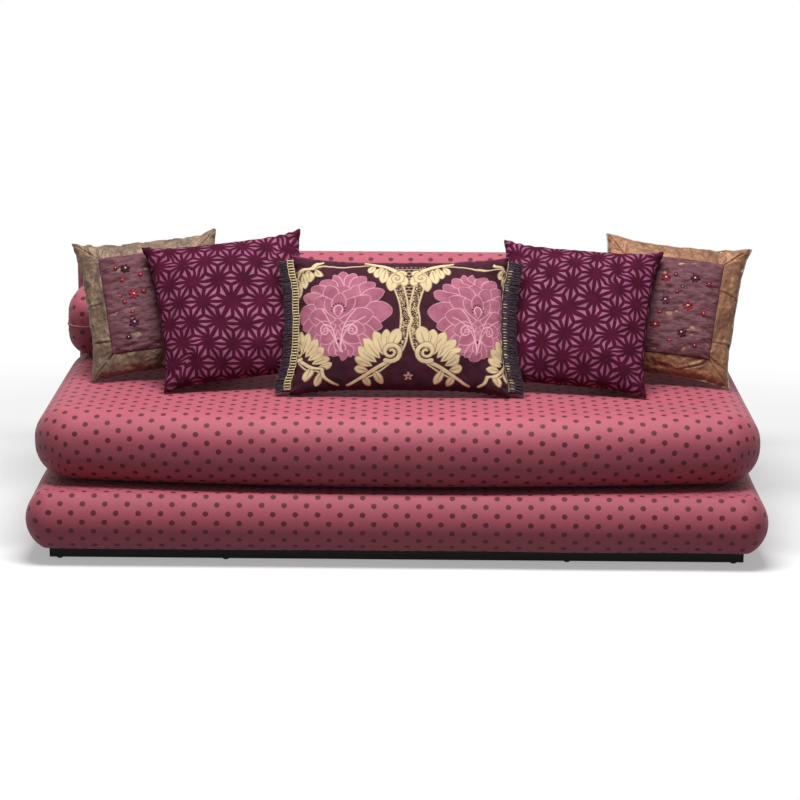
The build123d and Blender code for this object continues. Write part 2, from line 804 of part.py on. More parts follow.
# Velvet cushions, one at each side, turned a little towards the middle
velvet_places = (
    ("left", left_velvet_x, left_velvet_y, left_velvet_lean, left_velvet_yaw, left_velvet_roll),
    ("right", right_velvet_x, right_velvet_y, right_velvet_lean, right_velvet_yaw, right_velvet_roll),
)
for side_name, place_x, place_y, lean, yaw, roll in velvet_places:
    velvet_measures = (velvet_size, velvet_size, velvet_crown)
    velvet_plane = cushion_plane(place_x, place_y, velvet_measures, lean, yaw, roll)
    velvet = (velvet_plane, velvet_measures)
    with BuildPart() as velvet_filling:
        add(pillow_half(*velvet, 1, panel_cloth))
        add(pillow_half(*velvet, -1, panel_cloth))
    velvet_filling.part.label = f"{side_name}_velvet_filling"
    export_step(velvet_filling.part, f"parts/{side_name}_velvet_filling.step")

    with BuildPart() as velvet_front:
        add(pillow_half(*velvet, 1, 0))
        add(velvet_filling.part, mode=Mode.SUBTRACT)
    velvet_front.part.label = f"{side_name}_velvet_front"
    export_step(velvet_front.part, f"parts/{side_name}_velvet_front.step")

    with BuildPart() as velvet_rear:
        add(pillow_half(*velvet, -1, 0))
        add(velvet_filling.part, mode=Mode.SUBTRACT)
    velvet_rear.part.label = f"{side_name}_velvet_rear"
    export_step(velvet_rear.part, f"parts/{side_name}_velvet_rear.step")

# Brocade cushions: a gold border round a middle panel
brocade_places = (
    ("left", left_brocade_x, left_brocade_y, left_brocade_yaw, left_brocade_roll),
    ("right", right_brocade_x, right_brocade_y, right_brocade_yaw, right_brocade_roll),
)
for side_name, place_x, place_y, yaw, roll in brocade_places:
    brocade_measures = (brocade_size, brocade_size, brocade_crown)
    brocade_plane = cushion_plane(place_x, place_y, brocade_measures, brocade_lean, yaw, roll)
    brocade = (brocade_plane, brocade_measures)
    with BuildPart() as brocade_filling:
        add(pillow_half(*brocade, 1, panel_cloth))
        add(pillow_half(*brocade, -1, panel_cloth))
    brocade_filling.part.label = f"{side_name}_brocade_filling"
    export_step(brocade_filling.part, f"parts/{side_name}_brocade_filling.step")

    with BuildPart() as brocade_middle:
        add(pillow_half(*brocade, 1, 0))
        add(brocade_filling.part, mode=Mode.SUBTRACT)
        with BuildSketch(brocade_plane):
            Rectangle(brocade_size - 2 * brocade_border, brocade_size - 2 * brocade_border)
        extrude(amount=brocade_crown + overrun, mode=Mode.INTERSECT)
    brocade_middle.part.label = f"{side_name}_brocade_middle"
    export_step(brocade_middle.part, f"parts/{side_name}_brocade_middle.step")

    with BuildPart() as brocade_frame:
        add(pillow_half(*brocade, 1, 0))
        add(brocade_filling.part, mode=Mode.SUBTRACT)
        with BuildSketch(brocade_plane):
            Rectangle(brocade_size - 2 * brocade_border, brocade_size - 2 * brocade_border)
        extrude(amount=brocade_crown + overrun, mode=Mode.SUBTRACT)
    brocade_frame.part.label = f"{side_name}_brocade_border"
    export_step(brocade_frame.part, f"parts/{side_name}_brocade_border.step")

    with BuildPart() as brocade_rear:
        add(pillow_half(*brocade, -1, 0))
        add(brocade_filling.part, mode=Mode.SUBTRACT)
    brocade_rear.part.label = f"{side_name}_brocade_rear"
    export_step(brocade_rear.part, f"parts/{side_name}_brocade_rear.step")

# Lumbar cushion, in front of the velvet ones, with trimmed ends
lumbar_size = (lumbar_width, lumbar_height, lumbar_crown)
lumbar_plane = cushion_plane(lumbar_x, lumbar_y, lumbar_size, lumbar_lean, 0, 0)
lumbar = (lumbar_plane, lumbar_size)
lumbar_front_outer = pillow_half(*lumbar, 1, 0)
lumbar_rear_outer = pillow_half(*lumbar, -1, 0)
with BuildPart() as lumbar_filling:
    add(pillow_half(*lumbar, 1, panel_cloth))
    add(pillow_half(*lumbar, -1, panel_cloth))
lumbar_filling.part.label = "lumbar_filling"
export_step(lumbar_filling.part, "parts/lumbar_filling.step")

with BuildPart() as lumbar_front:
    add(lumbar_front_outer)
    add(lumbar_filling.part, mode=Mode.SUBTRACT)
lumbar_front.part.label = "lumbar_front"
export_step(lumbar_front.part, "parts/lumbar_front.step")

with BuildPart() as lumbar_rear:
    add(lumbar_rear_outer)
    add(lumbar_filling.part, mode=Mode.SUBTRACT)
lumbar_rear.part.label = "lumbar_rear"
export_step(lumbar_rear.part, "parts/lumbar_rear.step")


def trim_band(side, inner, outer, bottom, top):
    """A band along one end of the lumbar cushion, between two distances out from its seam."""
    half = lumbar_height / 2 * (1 - corner_shares[0])
    sag = min(lumbar_width, lumbar_height) / 2 * -swell_shares[0]
    near = lumbar_width / 2 + inner
    far = lumbar_width / 2 + outer
    with BuildPart() as band:
        with BuildSketch(lumbar_plane.offset(bottom)):
            with BuildLine():
                ThreePointArc((side * near, -half), (side * (near - sag), 0), (side * near, half))
                Line((side * near, half), (side * far, half))
                ThreePointArc((side * far, half), (side * (far - sag), 0), (side * far, -half))
                Line((side * far, -half), (side * near, -half))
            make_face()
        extrude(amount=top - bottom)
    return band.part


for side_name, side in (("left", -1), ("right", 1)):
    # The braid covers the root of the fringe, along the outside of the end seam
    with BuildPart() as lumbar_braid:
        add(trim_band(side, 0, braid_width, fringe_thick / 2, fringe_thick / 2 + braid_thick))
    lumbar_braid.part.label = f"lumbar_{side_name}_braid"
    export_step(lumbar_braid.part, f"parts/lumbar_{side_name}_braid.step")

    with BuildPart() as lumbar_fringe:
        add(trim_band(side, 0, fringe_width, -fringe_thick / 2, fringe_thick / 2))
        add(lumbar_front_outer, mode=Mode.SUBTRACT)
        add(lumbar_rear_outer, mode=Mode.SUBTRACT)
    lumbar_fringe.part.label = f"lumbar_{side_name}_fringe"
    export_step(lumbar_fringe.part, f"parts/lumbar_{side_name}_fringe.step")
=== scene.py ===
import json
import math
import random

import bpy
import numpy as np
from mathutils import Matrix, Vector, noise
from mathutils.bvhtree import BVHTree


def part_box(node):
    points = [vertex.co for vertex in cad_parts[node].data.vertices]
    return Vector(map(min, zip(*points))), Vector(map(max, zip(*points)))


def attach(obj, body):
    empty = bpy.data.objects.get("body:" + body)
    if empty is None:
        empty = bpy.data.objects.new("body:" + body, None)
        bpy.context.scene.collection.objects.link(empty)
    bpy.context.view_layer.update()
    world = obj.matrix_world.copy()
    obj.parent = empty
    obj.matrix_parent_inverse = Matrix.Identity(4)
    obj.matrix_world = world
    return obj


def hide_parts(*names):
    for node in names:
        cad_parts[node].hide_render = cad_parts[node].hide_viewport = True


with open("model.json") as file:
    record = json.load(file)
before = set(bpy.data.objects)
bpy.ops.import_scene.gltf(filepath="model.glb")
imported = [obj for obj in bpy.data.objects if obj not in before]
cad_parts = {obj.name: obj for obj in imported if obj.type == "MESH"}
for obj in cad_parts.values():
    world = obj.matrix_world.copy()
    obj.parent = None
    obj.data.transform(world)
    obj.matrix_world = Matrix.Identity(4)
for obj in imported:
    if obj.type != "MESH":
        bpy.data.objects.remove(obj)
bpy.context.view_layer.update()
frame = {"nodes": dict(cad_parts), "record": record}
MM = 0.001


def linear(colour):
    """An sRGB hex colour as the linear RGBA that a shader takes."""
    shares = [int(colour[i : i + 2], 16) / 255 for i in (1, 3, 5)]
    return (*(s / 12.92 if s <= 0.04045 else ((s + 0.055) / 1.055) ** 2.4 for s in shares), 1)


def add(tree, kind, links=None, **settings):
    """Adds one node with its settings. Each input takes a value, or a link from a node or socket."""
    node = tree.nodes.new("ShaderNode" + kind)
    for name, value in settings.items():
        setattr(node, name, value)
    for name, value in (links or {}).items():
        if isinstance(value, bpy.types.Node):
            value = value.outputs[0]
        if isinstance(value, bpy.types.NodeSocket):
            tree.links.new(value, node.inputs[name])
        else:
            node.inputs[name].default_value = value
    return node


def new_material(name):
    """A named material with an empty node tree."""
    material = bpy.data.materials.new(name)
    material.use_nodes = True
    material.node_tree.nodes.clear()
    return material, material.node_tree


# Patterns lie in millimetres. A texture's scale is how many of its grains come to a millimetre, and
# a wave's scale is the length of one band at a scale of 1 over the length that the band has here.
BAND = math.pi / 10

# Polyester jacquard, woven: a dusty rose ground with raised burgundy dots 58 mm apart, in rows
# 25 mm apart. The eye sees a dull silky ground and darker velvety dots. The yarns lie 0.94 mm
# apart and show only from close by.
DOT_PITCH = 58.2
DOT_ROW = 24.75
DOT_RADIUS = 7.4
DOT_EDGE = 0.9
DOT_HEIGHT = 0.8
YARN = 0.9425
YARN_HEIGHT = 0.25


def dotted_jacquard():
    material, tree = new_material("jacquard_woven_dusty_rose")
    place = add(tree, "VectorMath", {0: add(tree, "UVMap", uv_map="cloth"), "Scale": 1 / MM},
                operation="SCALE")
    ragged = add(tree, "TexNoise", {"Vector": place, "Scale": 0.35, "Detail": 2}).outputs[1]
    shift = add(tree, "VectorMath", {0: ragged, 1: (0.5, 0.5, 0.5)}, operation="SUBTRACT")
    wavering = add(tree, "VectorMath", {0: shift, 1: (2.2, 2.2, 0), 2: place}, operation="MULTIPLY_ADD")
    half = (DOT_PITCH / 2, DOT_ROW, 1)
    distances = []
    for offset in ((0, 0, 0), (DOT_PITCH / 2, DOT_ROW, 0)):
        moved = add(tree, "VectorMath", {0: wavering, 1: offset}, operation="ADD")
        cell = add(tree, "VectorMath", {0: moved, 1: half, 2: tuple(-h for h in half)}, operation="WRAP")
        flat = add(tree, "VectorMath", {0: cell, 1: (1, 1, 0)}, operation="MULTIPLY")
        distances.append(add(tree, "VectorMath", {0: flat}, operation="LENGTH").outputs[1])
    nearest = add(tree, "Math", {0: distances[0], 1: distances[1]}, operation="MINIMUM")
    dot = add(tree, "MapRange", {0: nearest, 1: DOT_RADIUS + DOT_EDGE, 2: DOT_RADIUS - DOT_EDGE})
    warp = add(tree, "TexWave", {"Vector": place, "Scale": BAND / YARN, "Distortion": 1.5},
               bands_direction="X")
    weft = add(tree, "TexWave", {"Vector": place, "Scale": BAND / YARN, "Distortion": 1.5},
               bands_direction="Y")
    weave = add(tree, "Math", {0: warp.outputs[1], 1: weft.outputs[1]}, operation="MULTIPLY")
    slub = add(tree, "TexNoise", {"Vector": place, "Scale": 0.02, "Detail": 4})
    ground = add(tree, "Mix", {0: slub, 6: linear("#A54F60"), 7: linear("#B95C6C")}, data_type="RGBA")
    thread = add(tree, "Mix", {0: weave, 6: ground.outputs[2], 7: linear("#934150")}, data_type="RGBA")
    colour = add(tree, "Mix", {0: dot, 6: thread.outputs[2], 7: linear("#520B1A")}, data_type="RGBA")
    woven = add(tree, "Math", {0: weave, 1: YARN_HEIGHT}, operation="MULTIPLY")
    height = add(tree, "Math", {0: dot, 1: DOT_HEIGHT, 2: woven}, operation="MULTIPLY_ADD")
    bump = add(tree, "Bump", {"Height": height, "Strength": 0.5, "Distance": MM})
    shader = add(tree, "BsdfPrincipled", {"Base Color": colour.outputs[2], "Normal": bump, "Roughness": 0.6,
                 "Sheen Weight": 0.2, "Sheen Roughness": 0.35, "Sheen Tint": linear("#F4D8DE"),
                 "Specular IOR Level": 0.35})
    add(tree, "OutputMaterial", {"Surface": shader})
    return material


# Burnout velvet, woven: plum pile in stars of twelve rays round solid hearts, cut away in narrow
# slits between the rays to a pink satin ground. The pile drinks the light and the satin catches
# it. The stars stand 74 mm apart.
STAR_PITCH = 74
STAR_HEART = 18
STAR_RAY = 5.0
STAR_RAYS = 12
PILE_HEIGHT = 1.6
NAP_HEIGHT = 0.5


def star_velvet(name, turn, shift):
    material, tree = new_material(name)
    place = add(tree, "VectorMath", {0: add(tree, "UVMap", uv_map="cloth"), "Scale": 1 / MM},
                operation="SCALE")
    turned = add(tree, "VectorRotate", {"Vector": place, "Angle": math.radians(turn)}, rotation_type="Z_AXIS")
    moved = add(tree, "VectorMath", {0: turned, 1: (*shift, 0)}, operation="ADD")
    half = (STAR_PITCH / 2, STAR_PITCH * math.sqrt(3) / 2, 1)
    cells, lengths = [], []
    for offset in ((0, 0, 0), (half[0], half[1], 0)):
        there = add(tree, "VectorMath", {0: moved, 1: offset}, operation="ADD")
        cell = add(tree, "VectorMath", {0: there, 1: half, 2: tuple(-h for h in half)}, operation="WRAP")
        cells.append(add(tree, "VectorMath", {0: cell, 1: (1, 1, 0)}, operation="MULTIPLY"))
        lengths.append(add(tree, "VectorMath", {0: cells[-1]}, operation="LENGTH").outputs[1])
    nearer = add(tree, "Math", {0: lengths[0], 1: lengths[1]}, operation="LESS_THAN")
    cell = add(tree, "Mix", {0: nearer, 4: cells[1], 5: cells[0]}, data_type="VECTOR").outputs[1]
    radius = add(tree, "Math", {0: lengths[0], 1: lengths[1]}, operation="MINIMUM")
    parts = add(tree, "SeparateXYZ", {0: cell})
    heading = add(tree, "Math", {0: parts.outputs[1], 1: parts.outputs[0]}, operation="ARCTAN2")
    angle = add(tree, "Math", {0: heading, 1: math.pi / STAR_RAYS}, operation="PINGPONG")
    lean = add(tree, "Math", {0: angle}, operation="SINE")
    off_axis = add(tree, "Math", {0: radius, 1: lean}, operation="MULTIPLY")
    off_ray = add(tree, "Math", {0: off_axis, 1: STAR_RAY}, operation="SUBTRACT")
    off_heart = add(tree, "Math", {0: radius, 1: STAR_HEART}, operation="SUBTRACT")
    slit = add(tree, "Math", {0: off_ray, 1: off_heart}, operation="MINIMUM")
    pile = add(tree, "MapRange", {0: slit, 1: 0.9, 2: -0.6})
    crushed = add(tree, "TexNoise", {"Vector": place, "Scale": 0.022, "Detail": 5, "Roughness": 0.65})
    nap = add(tree, "TexNoise", {"Vector": place, "Scale": 0.8, "Detail": 3})
    lay = add(tree, "MapRange", {0: crushed, 1: 0.35, 2: 0.7})
    plum = add(tree, "Mix", {0: lay, 6: linear("#360A1D"), 7: linear("#4E102B")},
               data_type="RGBA").outputs[2]
    satin = add(tree, "Mix", {0: lay, 6: linear("#6C344A"), 7: linear("#98587A")},
                data_type="RGBA").outputs[2]
    colour = add(tree, "Mix", {0: pile, 6: satin, 7: plum}, data_type="RGBA").outputs[2]
    napped = add(tree, "Math", {0: nap, 1: NAP_HEIGHT}, operation="MULTIPLY")
    height = add(tree, "Math", {0: pile, 1: PILE_HEIGHT, 2: napped}, operation="MULTIPLY_ADD")
    bump = add(tree, "Bump", {"Height": height, "Strength": 0.6, "Distance": MM})
    rough = add(tree, "MapRange", {0: pile, 3: 0.42, 4: 0.9})
    shader = add(tree, "BsdfPrincipled", {"Base Color": colour, "Normal": bump, "Roughness": rough,
                 "Sheen Weight": 0.06, "Sheen Roughness": 0.3, "Sheen Tint": linear("#C05A88"),
                 "Specular IOR Level": 0.1})
    add(tree, "OutputMaterial", {"Surface": shader})
    return material


# Metallic brocade, woven: lurex with a small all-over figure, sewn as a mitred border. The eye
# sees a glinting, uneven gold that creases sharply.
MITRE_DEPTH = 1.6
FIGURE_HEIGHT = 1.2


def gold_brocade(name, dull, bright):
    material, tree = new_material(name)
    place = add(tree, "VectorMath", {0: add(tree, "UVMap", uv_map="cloth"), "Scale": 1 / MM},
                operation="SCALE")
    figure = add(tree, "TexVoronoi", {"Vector": place, "Scale": 0.3, "Randomness": 0.8}, feature="SMOOTH_F1")
    shot = add(tree, "TexNoise", {"Vector": place, "Scale": 0.4, "Detail": 4, "Roughness": 0.7})
    worn = add(tree, "TexNoise", {"Vector": place, "Scale": 0.016, "Detail": 4, "Distortion": 0.6})
    figured = add(tree, "Math", {0: figure, 1: shot}, operation="MULTIPLY")
    glint = add(tree, "MapRange", {0: figured, 1: 0.02, 2: 0.5})
    gold = add(tree, "Mix", {0: glint, 6: linear(dull), 7: linear(bright)}, data_type="RGBA").outputs[2]
    wear = add(tree, "MapRange", {0: worn, 1: 0.35, 2: 0.75})
    colour = add(tree, "Mix", {0: wear, 6: gold, 7: linear(dull)}, data_type="RGBA").outputs[2]
    parts = add(tree, "SeparateXYZ", {0: place})
    across = add(tree, "Math", {0: parts.outputs[0]}, operation="ABSOLUTE")
    up = add(tree, "Math", {0: parts.outputs[1]}, operation="ABSOLUTE")
    unlike = add(tree, "Math", {0: across, 1: up}, operation="SUBTRACT")
    off_mitre = add(tree, "Math", {0: unlike}, operation="ABSOLUTE")
    seam = add(tree, "MapRange", {0: off_mitre, 1: 3.5, 2: 0.5})
    raised = add(tree, "Math", {0: figured, 1: FIGURE_HEIGHT}, operation="MULTIPLY")
    height = add(tree, "Math", {0: seam, 1: -MITRE_DEPTH, 2: raised}, operation="MULTIPLY_ADD")
    bump = add(tree, "Bump", {"Height": height, "Strength": 0.7, "Distance": MM})
    shader = add(tree, "BsdfPrincipled", {"Base Color": colour, "Normal": bump, "Roughness": 0.5,
                 "Metallic": 0.3, "Specular IOR Level": 0.4})
    add(tree, "OutputMaterial", {"Surface": shader})
    return material


# Crinkled tissue, woven of mauve rayon and pulled into fine creases: dull, with a shot sheen.
def mauve_tissue():
    material, tree = new_material("tissue_crinkled_mauve")
    place = add(tree, "VectorMath", {0: add(tree, "UVMap", uv_map="cloth"), "Scale": 1 / MM},
                operation="SCALE")
    stretched = add(tree, "VectorMath", {0: place, 1: (0.35, 1, 1)}, operation="MULTIPLY")
    crinkle = add(tree, "TexNoise", {"Vector": stretched, "Scale": 0.11, "Detail": 5, "Distortion": 1.2})
    # Painted shade and highlight: the colour is darker in the creases' hollows and lighter on their ridges
    crease_shade_and_highlight = add(tree, "MapRange", {0: crinkle, 1: 0.32, 2: 0.68})
    colour = add(tree, "Mix", {0: crease_shade_and_highlight, 6: linear("#482830"), 7: linear("#744850")},
                 data_type="RGBA").outputs[2]
    bump = add(tree, "Bump", {"Height": crinkle, "Strength": 0.7, "Distance": 3 * MM})
    shader = add(tree, "BsdfPrincipled", {"Base Color": colour, "Normal": bump, "Roughness": 0.6,
                 "Sheen Weight": 0.06, "Sheen Roughness": 0.3, "Specular IOR Level": 0.15})
    add(tree, "OutputMaterial", {"Surface": shader})
    return material


# Plain velvet, cut pile: it lightens in cloudy patches where the nap turns to the light.
def plain_velvet(name, deep, lit, sheen):
    material, tree = new_material(name)
    place = add(tree, "VectorMath", {0: add(tree, "NewGeometry"), "Scale": 1 / MM}, operation="SCALE")
    crushed = add(tree, "TexNoise", {"Vector": place, "Scale": 0.02, "Detail": 5, "Roughness": 0.6})
    lay = add(tree, "MapRange", {0: crushed, 1: 0.3, 2: 0.75})
    nap = add(tree, "TexNoise", {"Vector": place, "Scale": 0.9, "Detail": 3})
    colour = add(tree, "Mix", {0: lay, 6: linear(deep), 7: linear(lit)}, data_type="RGBA").outputs[2]
    bump = add(tree, "Bump", {"Height": nap, "Strength": 0.4, "Distance": MM})
    shader = add(tree, "BsdfPrincipled", {"Base Color": colour, "Normal": bump, "Roughness": 0.88,
                 "Sheen Weight": 0.35, "Sheen Roughness": 0.4, "Sheen Tint": linear(sheen),
                 "Specular IOR Level": 0.2})
    add(tree, "OutputMaterial", {"Surface": shader})
    return material


# Velvet damask, woven: cut pile in aubergine and pink with raised cream and dark yarns. Each point
# of the cloth carries how much of the pink, cream, dark and pale pink yarns shows there.
def velvet_damask():
    material, tree = new_material("damask_velvet_aubergine_and_pink")
    place = add(tree, "VectorMath", {0: add(tree, "UVMap", uv_map="cloth"), "Scale": 1 / MM},
                operation="SCALE")
    crushed = add(tree, "TexNoise", {"Vector": place, "Scale": 0.02, "Detail": 5, "Roughness": 0.6})
    lay = add(tree, "MapRange", {0: crushed, 1: 0.3, 2: 0.75})
    yarns = add(tree, "Attribute", attribute_name="yarns")
    shares = add(tree, "SeparateColor", {0: yarns})
    colour = add(tree, "Mix", {0: lay, 6: linear("#280C18"), 7: linear("#421828")},
                 data_type="RGBA").outputs[2]
    pink = add(tree, "Mix", {0: lay, 6: linear("#8E4C60"), 7: linear("#AE6C80")},
               data_type="RGBA").outputs[2]
    pinked = add(tree, "Mix", {0: shares.outputs[0], 6: colour, 7: pink}, data_type="RGBA").outputs[2]
    paled = add(tree, "Mix", {0: yarns.outputs["Alpha"], 6: pinked, 7: linear("#DCA6B4")},
                data_type="RGBA").outputs[2]
    creamed = add(tree, "Mix", {0: shares.outputs[1], 6: paled, 7: linear("#CDB78E")},
                  data_type="RGBA").outputs[2]
    darkened = add(tree, "Mix", {0: shares.outputs[2], 6: creamed, 7: linear("#1E0A18")},
                   data_type="RGBA").outputs[2]
    nap = add(tree, "TexNoise", {"Vector": place, "Scale": 0.7, "Detail": 3})
    bump = add(tree, "Bump", {"Height": nap, "Strength": 0.5, "Distance": MM})
    shader = add(tree, "BsdfPrincipled", {"Base Color": darkened, "Normal": bump, "Roughness": 0.8,
                 "Sheen Weight": 0.12, "Sheen Roughness": 0.4, "Sheen Tint": linear("#B877A0"),
                 "Specular IOR Level": 0.15})
    add(tree, "OutputMaterial", {"Surface": shader})
    return material


# Yarn, twisted: the twist shows as fine light and dark flecks.
def twisted_yarn(name, deep, lit, rough):
    material, tree = new_material(name)
    place = add(tree, "VectorMath", {0: add(tree, "NewGeometry"), "Scale": 1 / MM}, operation="SCALE")
    fleck = add(tree, "TexNoise", {"Vector": place, "Scale": 0.55, "Detail": 3})
    share = add(tree, "MapRange", {0: fleck, 1: 0.35, 2: 0.65})
    colour = add(tree, "Mix", {0: share, 6: linear(deep), 7: linear(lit)}, data_type="RGBA").outputs[2]
    bump = add(tree, "Bump", {"Height": fleck, "Strength": 0.6, "Distance": MM})
    shader = add(tree, "BsdfPrincipled", {"Base Color": colour, "Normal": bump, "Roughness": rough,
                 "Sheen Weight": 0.15})
    add(tree, "OutputMaterial", {"Surface": shader})
    return material


# Softwood and plywood, planed or sanded: pale, with fine grain lines. The grain is the space
# between two lines, in millimetres.
def planed_wood(name, pale, dark, grain):
    material, tree = new_material(name)
    place = add(tree, "VectorMath", {0: add(tree, "NewGeometry"), "Scale": 1 / MM}, operation="SCALE")
    along = add(tree, "VectorMath", {0: place, 1: (0.04, 0.4, 1)}, operation="MULTIPLY")
    rings = add(tree, "TexWave", {"Vector": along, "Scale": BAND / grain, "Distortion": 4, "Detail": 3},
                bands_direction="Z")
    colour = add(tree, "Mix", {0: rings.outputs[1], 6: linear(pale), 7: linear(dark)},
                 data_type="RGBA").outputs[2]
    bump = add(tree, "Bump", {"Height": rings.outputs[1], "Strength": 0.1, "Distance": MM})
    shader = add(tree, "BsdfPrincipled", {"Base Color": colour, "Normal": bump, "Roughness": 0.65})
    add(tree, "OutputMaterial", {"Surface": shader})
    return material


# Black paint, brushed on wood: satin, with faint brush marks along the boards.
def black_paint():
    material, tree = new_material("paint_black_brushed")
    place = add(tree, "VectorMath", {0: add(tree, "NewGeometry"), "Scale": 1 / MM}, operation="SCALE")
    brushed = add(tree, "VectorMath", {0: place, 1: (0.02, 1, 1)}, operation="MULTIPLY")
    marks = add(tree, "TexNoise", {"Vector": brushed, "Scale": 0.5, "Detail": 4})
    colour = add(tree, "Mix", {0: marks, 6: linear("#060406"), 7: linear("#120E11")},
                 data_type="RGBA").outputs[2]
    rough = add(tree, "MapRange", {0: marks, 3: 0.35, 4: 0.6})
    bump = add(tree, "Bump", {"Height": marks, "Strength": 0.3, "Distance": MM})
    shader = add(tree, "BsdfPrincipled", {"Base Color": colour, "Normal": bump, "Roughness": rough,
                 "Specular IOR Level": 0.2})
    add(tree, "OutputMaterial", {"Surface": shader})
    return material


# Steel, zinc-plated or antiqued: grey or brown metal with a soft cloudy shine.
def plated_steel(name, dull, bright):
    material, tree = new_material(name)
    place = add(tree, "VectorMath", {0: add(tree, "NewGeometry"), "Scale": 1 / MM}, operation="SCALE")
    cloud = add(tree, "TexNoise", {"Vector": place, "Scale": 0.3, "Detail": 3})
    colour = add(tree, "Mix", {0: cloud, 6: linear(dull), 7: linear(bright)}, data_type="RGBA").outputs[2]
    rough = add(tree, "MapRange", {0: cloud, 3: 0.28, 4: 0.48})
    shader = add(tree, "BsdfPrincipled", {"Base Color": colour, "Roughness": rough, "Metallic": 1})
    add(tree, "OutputMaterial", {"Surface": shader})
    return material


# Polypropylene, moulded or spun-bonded: dull black with a fine grain.
def dull_plastic(name, grain):
    material, tree = new_material(name)
    place = add(tree, "VectorMath", {0: add(tree, "NewGeometry"), "Scale": 1 / MM}, operation="SCALE")
    speck = add(tree, "TexNoise", {"Vector": place, "Scale": grain, "Detail": 3})
    colour = add(tree, "Mix", {0: speck, 6: linear("#121213"), 7: linear("#232224")},
                 data_type="RGBA").outputs[2]
    bump = add(tree, "Bump", {"Height": speck, "Strength": 0.3, "Distance": MM})
    shader = add(tree, "BsdfPrincipled", {"Base Color": colour, "Normal": bump, "Roughness": 0.7})
    add(tree, "OutputMaterial", {"Surface": shader})
    return material


def make_mesh(name, points, faces, material, flat=None):
    """A mesh object from points, faces and, for cloth, each point's place on the flat cloth."""
    mesh = bpy.data.meshes.new(name)
    mesh.from_pydata([tuple(map(float, p)) for p in points], [], faces)
    if flat is not None:
        layer = mesh.uv_layers.new(name="cloth")
        corners = np.zeros(len(mesh.loops), np.int32)
        mesh.loops.foreach_get("vertex_index", corners)
        layer.data.foreach_set("uv", np.asarray(flat, np.float32)[corners].ravel())
    mesh.polygons.foreach_set("use_smooth", [True] * len(mesh.polygons))
    mesh.materials.append(material)
    made = bpy.data.objects.new(name, mesh)
    bpy.context.scene.collection.objects.link(made)
    return made


def fit_out(piece, body, slot, *nodes, fill=None):
    """Joins a piece to its body and hides the solids that it stands for."""
    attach(piece, body)
    if nodes:
        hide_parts(*nodes)
    return piece


def ring_faces(ring_count, ring_size):
    """The quads between closed rings of equal size."""
    faces = []
    for ring in range(ring_count - 1):
        for i in range(ring_size):
            j = (i + 1) % ring_size
            low, high = ring * ring_size, (ring + 1) * ring_size
            faces.append((low + i, low + j, high + j, high + i))
    return faces


def sheet_faces(across, deep):
    """The faces of a thin closed sheet of two grids of points: its front, its rear and its rim."""
    row = deep + 1
    count = (across + 1) * row
    faces = []
    for i in range(across):
        for j in range(deep):
            quad = (i * row + j, (i + 1) * row + j, (i + 1) * row + j + 1, i * row + j + 1)
            faces.append(quad)
            faces.append(tuple(count + k for k in reversed(quad)))
    rim = [i * row for i in range(across)] + [across * row + j for j in range(deep)]
    rim += [i * row + deep for i in range(across, 0, -1)] + list(range(deep, 0, -1))
    for k, first in enumerate(rim):
        second = rim[(k + 1) % len(rim)]
        faces.append((second, first, count + first, count + second))
    return faces


def tube(path, radius, sides=8, closed=False):
    """Points and faces of a round cord along a path."""
    path = [Vector(p) for p in path]
    count = len(path)
    points, normal = [], None
    for k in range(count):
        before = path[k - 1] if k or closed else path[0]
        after = path[(k + 1) % count] if k < count - 1 or closed else path[-1]
        along = (after - before).normalized()
        if normal is None:
            normal = along.orthogonal().normalized()
        normal = (normal - along * normal.dot(along)).normalized()
        across = along.cross(normal)
        reach = radius(k / (count - 1)) if callable(radius) else radius
        for s in range(sides):
            turn = 2 * math.pi * s / sides
            points.append(path[k] + (normal * math.cos(turn) + across * math.sin(turn)) * reach)
    faces = ring_faces(count, sides)
    if closed:
        last = (count - 1) * sides
        faces += [(last + s, last + (s + 1) % sides, (s + 1) % sides, s) for s in range(sides)]
    else:
        faces.append(tuple(reversed(range(sides))))
        faces.append(tuple(range((count - 1) * sides, count * sides)))
    return points, faces


# The cloth's face lies just inside the solid that it stands for, and is taut near a board
SHY = 0.6 * MM
ARC_STEPS = 12
WAVES = 6
TAUT_DEPTH = 40 * MM
TAUT_BLEND = 60 * MM


def box_of(*nodes):
    """The low and high corners of the box round some of the part's solids."""
    corners = [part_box(n) for n in nodes]
    low = Vector([min(c[0][i] for c in corners) for i in range(3)])
    high = Vector([max(c[1][i] for c in corners) for i in range(3)])
    return low, high


def arc(start, end, steps):
    """Angles from start to end in degrees, as radians, without the last."""
    return [math.radians(start + (end - start) * k / steps) for k in range(steps)]


def ripple(points, normals, size, wave, seed):
    """Moves points in by up to a size, in slow waves, as filling does under cloth."""
    rng = random.Random(seed)
    total = np.zeros(len(points))
    for _ in range(WAVES):
        direction = np.array([rng.uniform(-1, 1), rng.uniform(-1, 1), rng.uniform(-1, 1)])
        direction /= np.linalg.norm(direction)
        length = wave * rng.uniform(0.7, 1.6)
        start = rng.uniform(0, 6.28)
        total += np.sin(points @ direction * 2 * math.pi / length + start)
    total = total / WAVES
    return points - normals * ((total * 0.5 + 0.5) * size)[:, None]


